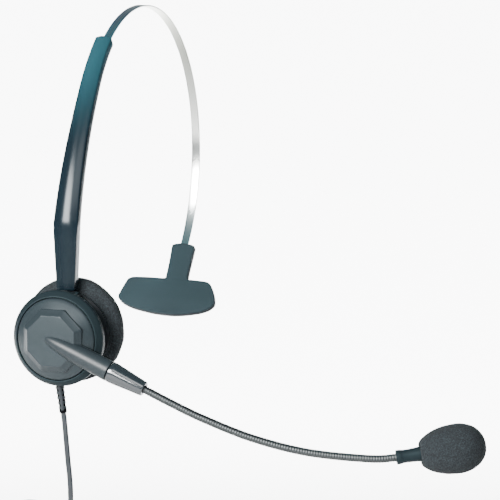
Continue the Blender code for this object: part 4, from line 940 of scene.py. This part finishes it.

# %% [markdown]
# ## The front plate
# The plate is a shallow cone with a raised octagon. The octagon's sloping sides are what catch the
# light differently on each of its eight edges, so it is a true eight-sided solid whose edges are
# rounded by a narrow bevel.

# %% Plate and octagon
PLATE_PROFILE = [
    (0, 109.65), (12.6, 109.65), (13.5, 109.4), (17.4, 106.9), (18.35, 106.2), (18.78, 105.5),
    (18.78, 101.85), (17.0, 101.85), (17.0, 104.8), (6.2, 104.8), (6.2, 101.85), (4.0, 101.85),
    (4.0, 98.45), (3.5, 98.45),
    (3.5, 97.6), (4.0, 97.6), (4.0, 97.15), (3.0, 97.15), (3.0, 104.4), (0, 104.4),
]
piece("front_plate", turned("front_plate", PLATE_PROFILE, CUP_PLACE, 192, 0.3, closed=False), "boom",
      CUP_SATIN, "cup_plastic", "boom_hub")


def octagon_ring(across_flats, depth, soft):
    corner = across_flats / 2 / math.cos(math.pi / 8)
    turn = [math.pi / 8 + math.tau * k / 8 for k in range(8)]
    outline = soften([(corner * math.cos(t), corner * math.sin(t)) for t in turn], soft, steps=5)
    return [CUP_PLACE @ (Vector((p.x, p.y, depth)) * MM) for p in outline]


octagon_levels = [(28.3, 107.6, 0.9), (28.3, 109.5, 0.9), (28.1, 109.75, 0.9), (23.1, 111.8, 0.5),
                  (22.9, 111.92, 0.5), (22.6, 112.0, 0.5), (22.3, 112.02, 0.5)]
octagon_mesh = skin_over("octagon", [octagon_ring(*level) for level in octagon_levels])
octagon_mesh.set_sharp_from_angle(angle=math.radians(20))
piece("octagon", octagon_mesh, "boom", CUP_SATIN, "cup_plastic")

# %% [markdown]
# ## The boom's root and collar
# The root grows out of the octagon like a pointed seed: its radius rises as a quarter ellipse and then
# barely swells to the seam. Behind the seam sits a glossy tapered collar that grips the gooseneck.

# %% Root and collar
BOOM_PITCH = math.radians(23.4)
BOOM_ALONG = Vector((0, -math.cos(BOOM_PITCH), -math.sin(BOOM_PITCH)))
BOOM_PLACE = place_on((-110.5, 0, CUP_Z), BOOM_ALONG, (1, 0, 0))
ROOT_LENGTH = 30.4


def root_profile():
    points = [(2.05, ROOT_LENGTH - 3), (2.05, ROOT_LENGTH), (4.5, ROOT_LENGTH), (4.75, ROOT_LENGTH - 0.1),
              (4.8, ROOT_LENGTH - 0.35)]
    for share in np.linspace(1, 0, 60):
        at = -4.4 + share * (ROOT_LENGTH + 3.6)
        rise = min(1.0, (at + 4.4) / 21.0)
        radius = 4.35 * math.sqrt(max(0.0, 1 - (1 - rise) ** 2.1)) + 0.45 * max(0.0, (at - 8) / 22)
        points.append((radius, at))
    return points


piece("boom_root", turned("boom_root", root_profile(), BOOM_PLACE, 96, closed=False), "boom", BOOM_SATIN,
      "cup_plastic")
COLLAR_PROFILE = [
    (2.05, 48.7), (3.1, 48.7), (3.4, 48.3), (3.95, 42.0), (4.45, 36.5), (4.8, 32.4), (4.8, 31.0),
    (4.5, 30.75), (2.05, 30.75),
]
piece("neck_collar", turned("neck_collar", COLLAR_PROFILE, BOOM_PLACE, 96, 0.25), "boom", COLLAR_GLOSS,
      "arm_plastic", "boom_collar")

# %% [markdown]
# ## The gooseneck
# A gooseneck is a coil of wire in a closed spring, seen as fine ribs. A Geometry Nodes tree makes it
# from a path: the path is resampled to eight points a rib, a sine of the length along it swells the
# radius, and a circle is swept along it. Two such pieces are made, split halfway between the two bends.

# %% Path of the gooseneck, in millimetres
NECK_POINTS = [
    (-109.9, -58.5, -169.5), (-108.6, -71.0, -174.9), (-105.2, -93.0, -183.0), (-99.6, -117.5, -189.0),
    (-92.0, -144.0, -191.6), (-87.6, -155.1, -191.1),
]
MIC_YAW, MIC_PITCH = math.radians(22.4), math.radians(8.0)
MIC_ALONG = Vector((math.sin(MIC_YAW) * math.cos(MIC_PITCH), -math.cos(MIC_YAW) * math.cos(MIC_PITCH),
                    math.sin(MIC_PITCH)))
BOOM_START = BOOM_PLACE.translation / MM
neck_line = smooth_through(
    [BOOM_START + BOOM_ALONG * 27.0, BOOM_START + BOOM_ALONG * 49.4, *NECK_POINTS,
     Vector(NECK_POINTS[-1]) + MIC_ALONG * 4.6], 0.5,
)
FIRST_BEND = Vector(JOINTS["boom_bend"]["pos_m"]) / MM
SECOND_BEND = Vector(JOINTS["mic_bend"]["pos_m"]) / MM


def nearest(point):
    return min(range(len(neck_line)), key=lambda i: (neck_line[i] - point).length)


first_at, second_at = nearest(FIRST_BEND), nearest(SECOND_BEND)
middle_at = (first_at + second_at) // 2
print("gooseneck:", round(length_of(neck_line)), "mm, bends at", first_at // 2, "and", second_at // 2)


# %% Ribbed tube from a path
def ribbed(name, points):
    curve = bpy.data.curves.new(name, "CURVE")
    curve.dimensions = "3D"
    spline = curve.splines.new("POLY")
    spline.points.add(len(points) - 1)
    for knot, place in zip(spline.points, points):
        knot.co = (*(place * MM), 1)
    recipe = Recipe(name, Radius=1.74 * MM, Pitch=1.2 * MM, Depth=0.06)
    fine = recipe.add(
        "GeometryNodeResampleCurve", {"mode": "LENGTH"},
        {"Curve": recipe.given(), "Length": recipe.size("Pitch") / 8},
    )
    length = recipe.add("GeometryNodeSplineParameter", out="Length")
    wave = (length * math.tau / recipe.size("Pitch")).maths("SINE")
    ring = recipe.add(
        "GeometryNodeCurvePrimitiveCircle", None, {"Resolution": 20, "Radius": recipe.size("Radius")}
    )
    tube = recipe.add(
        "GeometryNodeCurveToMesh", None,
        {"Curve": fine, "Profile Curve": ring, "Scale": wave * recipe.size("Depth") + 1, "Fill Caps": True},
    )
    return tidy(recipe.run(tube, NECK_METAL, curve), 80)


rear = piece("gooseneck_near", ribbed("neck_near", neck_line[:middle_at + 1]), None, NECK_METAL, "neck_metal",
             "gooseneck_rear")
front = piece("gooseneck_far", ribbed("neck_far", neck_line[middle_at:]), None, NECK_METAL, "neck_metal",
              "gooseneck_middle", "gooseneck_front")
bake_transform(rear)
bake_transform(front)

# %% [markdown]
# ## The microphone
# The boot is a short stem with a flange, flaring into the windscreen. The windscreen is an egg of foam,
# widest past its middle, with a lip round the boot. It is roughened like the ear cushion.

# %% Boot and windscreen
MIC_PLACE = place_on(NECK_POINTS[-1], MIC_ALONG, (0, 0, 1))
BOOT_PROFILE = [
    (2.05, 0.0), (2.95, 0.0), (3.25, 0.3), (3.25, 2.0), (3.0, 2.8), (2.98, 5.0), (3.15, 8.0), (3.35, 10.8),
    (3.3, 12.0), (3.1, 12.4), (3.1, 20.0), (2.5, 20.0), (2.5, 14.0), (0.0, 14.0), (0.0, 5.5), (2.05, 5.5),
]
piece("mic_stem", turned("mic_stem", BOOT_PROFILE, MIC_PLACE, 64, 0.2), "microphone", RIM_SATIN,
      "dark_plastic", "mic_boot")
dress(FASTENER, "mic_capsule")
dress(DARK_MATTE, "mic_screen")


def egg_profile():
    """From the blind bore, round the lip and over the egg to its tip."""
    start, length, radius, widest = 10.8, 29.6, 11.1, 0.58
    points = [(0.0, 21.2), (2.2, 21.2), (3.3, 20.6), (3.35, 14.4), (3.7, 13.2), (4.3, 12.0), (4.5, 11.4)]
    for share in 0.5 - 0.5 * np.cos(np.linspace(0, math.pi, 130)):
        off = (widest - share) / widest if share < widest else (share - widest) / (1 - widest)
        if share < widest:
            bulge = radius * (1 - 0.6 * off**2.4) ** 0.8
            bulge -= 0.6 * math.exp(-share * 60)
        else:
            bulge = radius * max(0.0, 1 - off**2.05) ** 0.5
        points.append((bulge, start + length * share))
    return points


foam_mesh = roughen(turned("windscreen", egg_profile(), MIC_PLACE, 220, closed=False), 0.2, 0.1)
windscreen = piece("windscreen", foam_mesh, "microphone", FOAM, "foam", "mic_foam")
print("windscreen:", len(foam_mesh.polygons), "faces")

# %% [markdown]
# ## The strain relief
# The strain relief is a rubber sleeve with rows of slots that let it bend. The row repeats, so Geometry
# Nodes makes it: a line of points carries one thick ring each, smaller towards the tip, and a flat web
# down the front and back joins the rings, which leaves a slot on each side.

# %% Rings and web of the strain relief
RELIEF_TOP = 2.15
recipe = Recipe("relief_rings", Count=7, Pitch=2.3 * MM, Start=5.6 * MM, Radius=RELIEF_TOP * MM,
                Ring=1.25 * MM, Taper=0.028)
spots = recipe.add(
    "GeometryNodeMeshLine", {"mode": "OFFSET"},
    {"Count": recipe.size("Count"),
     "Offset": recipe.add("ShaderNodeCombineXYZ", None, {"Z": recipe.size("Pitch")})},
)
ring = recipe.add(
    "GeometryNodeMeshCylinder", None,
    {"Vertices": 40, "Side Segments": 3, "Radius": recipe.size("Radius"), "Depth": recipe.size("Ring")},
    "Mesh",
)
order = recipe.add("GeometryNodeInputIndex")
shrink = 1 - order * recipe.size("Taper")
rings = recipe.add("GeometryNodeInstanceOnPoints", None, {"Points": spots, "Instance": ring, "Scale": shrink})
rings = recipe.add(
    "GeometryNodeTransform", None,
    {"Geometry": rings, "Translation": recipe.add("ShaderNodeCombineXYZ", None, {"Z": recipe.size("Start")})},
)
relief_mesh = recipe.run(rings, JACKET)
relief_mesh.transform(RELIEF_PLACE)
piece("relief_rings", tidy(relief_mesh), "ear_cup", JACKET, "cord_jacket", "strain_relief")
CORE_PROFILE = [(0, 21.88), (1.5, 21.88), (1.75, 21.6), (1.75, 20.0), (1.5, 19.9), (1.9, 4.9),
                (2.2, 4.8), (2.2, -2.3), (3.0, -2.3), (3.0, -3.3), (0, -3.3)]
# The core is painted near-black so that it reads as the shade seen through the slots: painted shade.
piece("relief_core", turned("relief_core", CORE_PROFILE, RELIEF_PLACE, 48, 0.15, closed=False), "ear_cup",
      PAINTED_SLOT_SHADE, "cord_jacket")
web_line = [RELIEF_PLACE.translation / MM + RELIEF_DOWN * t for t in np.linspace(4.6, 20.6, 12)]
web_section = soften([(0.8, -2.15), (0.8, 2.15), (-0.8, 2.15), (-0.8, -2.15)], 0.3)
web_scale = [1 - 0.17 * t for t in np.linspace(0, 1, 12)]
web_mesh = swept("relief_web", web_line, web_section, (-0.33, 0.94, 0), web_scale)
piece("relief_web", web_mesh, "ear_cup", JACKET, "cord_jacket")

# %% [markdown]
# ## Screws
# Two small flat-topped screws close the arm. A Geometry Nodes tree builds a head, a shank and the bars
# that cut the cross recess. Each screw is a piece of its own, so the tree runs once for each place.


# %% A cross-recessed screw
def screw(name, place, node):
    recipe = Recipe(name, Head=1.3 * MM, Height=0.7 * MM, Shank=0.6 * MM, Length=3.0 * MM, Slot=0.22 * MM)
    head = recipe.add(
        "GeometryNodeMeshCylinder", None,
        {"Vertices": 32, "Radius": recipe.size("Head"), "Depth": recipe.size("Height")}, "Mesh",
    )
    shank = recipe.add(
        "GeometryNodeMeshCylinder", None,
        {"Vertices": 20, "Radius": recipe.size("Shank"), "Depth": recipe.size("Length")}, "Mesh",
    )
    half_way = (recipe.size("Length") + recipe.size("Height")) / 2
    lift = recipe.add("ShaderNodeCombineXYZ", None, {"Z": half_way})
    shank = recipe.add("GeometryNodeTransform", None, {"Geometry": shank, "Translation": lift})
    arms = []
    for size in (("Head", "Slot"), ("Slot", "Head")):
        reach = [recipe.size(key) * (1.2 if key == "Head" else 1) for key in size]
        bar = recipe.add("ShaderNodeCombineXYZ", None, [*reach, recipe.size("Height")])
        bar = recipe.add("GeometryNodeMeshCube", None, {"Size": bar})
        drop = recipe.add("ShaderNodeCombineXYZ", None, {"Z": recipe.size("Height") * -0.55})
        arms.append(recipe.add("GeometryNodeTransform", None, {"Geometry": bar, "Translation": drop}))
    boolean = recipe.tree.nodes.new("GeometryNodeMeshBoolean")
    boolean.operation = "DIFFERENCE"
    recipe.tree.links.new(head.socket, boolean.inputs[0])
    for bar in arms:
        recipe.tree.links.new(bar.socket, boolean.inputs[1])
    joined = recipe.tree.nodes.new("GeometryNodeJoinGeometry")
    recipe.tree.links.new(boolean.outputs[0], joined.inputs[0])
    recipe.tree.links.new(shank.socket, joined.inputs[0])
    mesh = recipe.run(Wire(recipe, joined.outputs[0]), FASTENER)
    mesh.transform(place)
    return piece(name, tidy(mesh), "arm", FASTENER, "fastener_steel", node)


for number, share in enumerate((0.42, 0.84), 1):
    found = np.interp(ARM_LENGTH * share, arm_lengths, range(len(arm_stations)))
    point, out = arm_stations[int(found)]
    head_place = place_on(point - out * 3.55, out, (0, 1, 0))
    screw(f"cover_screw_{number}", head_place, f"arm_screw_{number}")
print("screws done")

# %% [markdown]
# ## Studio
# The headset hangs over a plain pale floor. A softbox beside the camera gives the plastics their long
# highlights, a weaker light at its other side lifts the plate, and a low, wide lamp behind the headset
# lights only the floor, so that the background is near white. The dim, bluish world keeps the upper
# bevels dark, so the octagon reads.

# %% Floor, lights and world
FLOOR_Z = -0.345
FLOOR_REACH = 30
floor_corners = [(x * FLOOR_REACH, y * FLOOR_REACH, FLOOR_Z) for x, y in ((-1, -1), (1, -1), (1, 1), (-1, 1))]
floor_mesh = bpy.data.meshes.new("floor")
floor_mesh.from_pydata(floor_corners, [], [(0, 1, 2, 3)])
floor_mesh.materials.append(new_finish("pale_floor", (0.93, 0.93, 0.93), 0.9)[0])
floor = bpy.data.objects.new("floor", floor_mesh)
bpy.context.scene.collection.objects.link(floor)


VIEW_TURN = math.atan2(VIEW_ALONG.y, VIEW_ALONG.x)


def soft_light(name, place, target, size, power):
    data = bpy.data.lights.new(name, "AREA")
    data.shape = "RECTANGLE"
    data.size, data.size_y = size
    data.energy = power
    light = bpy.data.objects.new(name, data)
    light.location = place
    aim = Vector(target) - Vector(place)
    light.rotation_euler = aim.to_track_quat("-Z", "Y").to_euler() if aim.xy.length else (0, 0, VIEW_TURN)
    bpy.context.scene.collection.objects.link(light)
    return data


HEADSET_MIDDLE = Vector((-0.06, -0.04, -0.1))


def towards(azimuth, elevation, distance):
    """A point seen from the headset's middle at those angles, in degrees."""
    a, e = math.radians(azimuth), math.radians(elevation)
    way = Vector((math.cos(a) * math.cos(e), math.sin(a) * math.cos(e), math.sin(e)))
    return HEADSET_MIDDLE + way * distance


softbox = soft_light("softbox", towards(164, 23, 1.6), HEADSET_MIDDLE, (0.92, 0.76), 36)
softbox.spread = math.radians(110)
soft_light("top_right", towards(208, 36, 1.8), HEADSET_MIDDLE, (0.9, 0.7), 9)
sweep = soft_light("sweep", (3.55, 0.95, 0.45), (3.55, 0.95, 0), (6.6, 2.6), 560)
sweep.spread = math.radians(60)
world = bpy.data.worlds.new("studio")
world.use_nodes = True
world.node_tree.nodes["Background"].inputs["Color"].default_value = (0.72, 0.9, 1.0, 1)
world.node_tree.nodes["Background"].inputs["Strength"].default_value = 0.25
bpy.context.scene.world = world
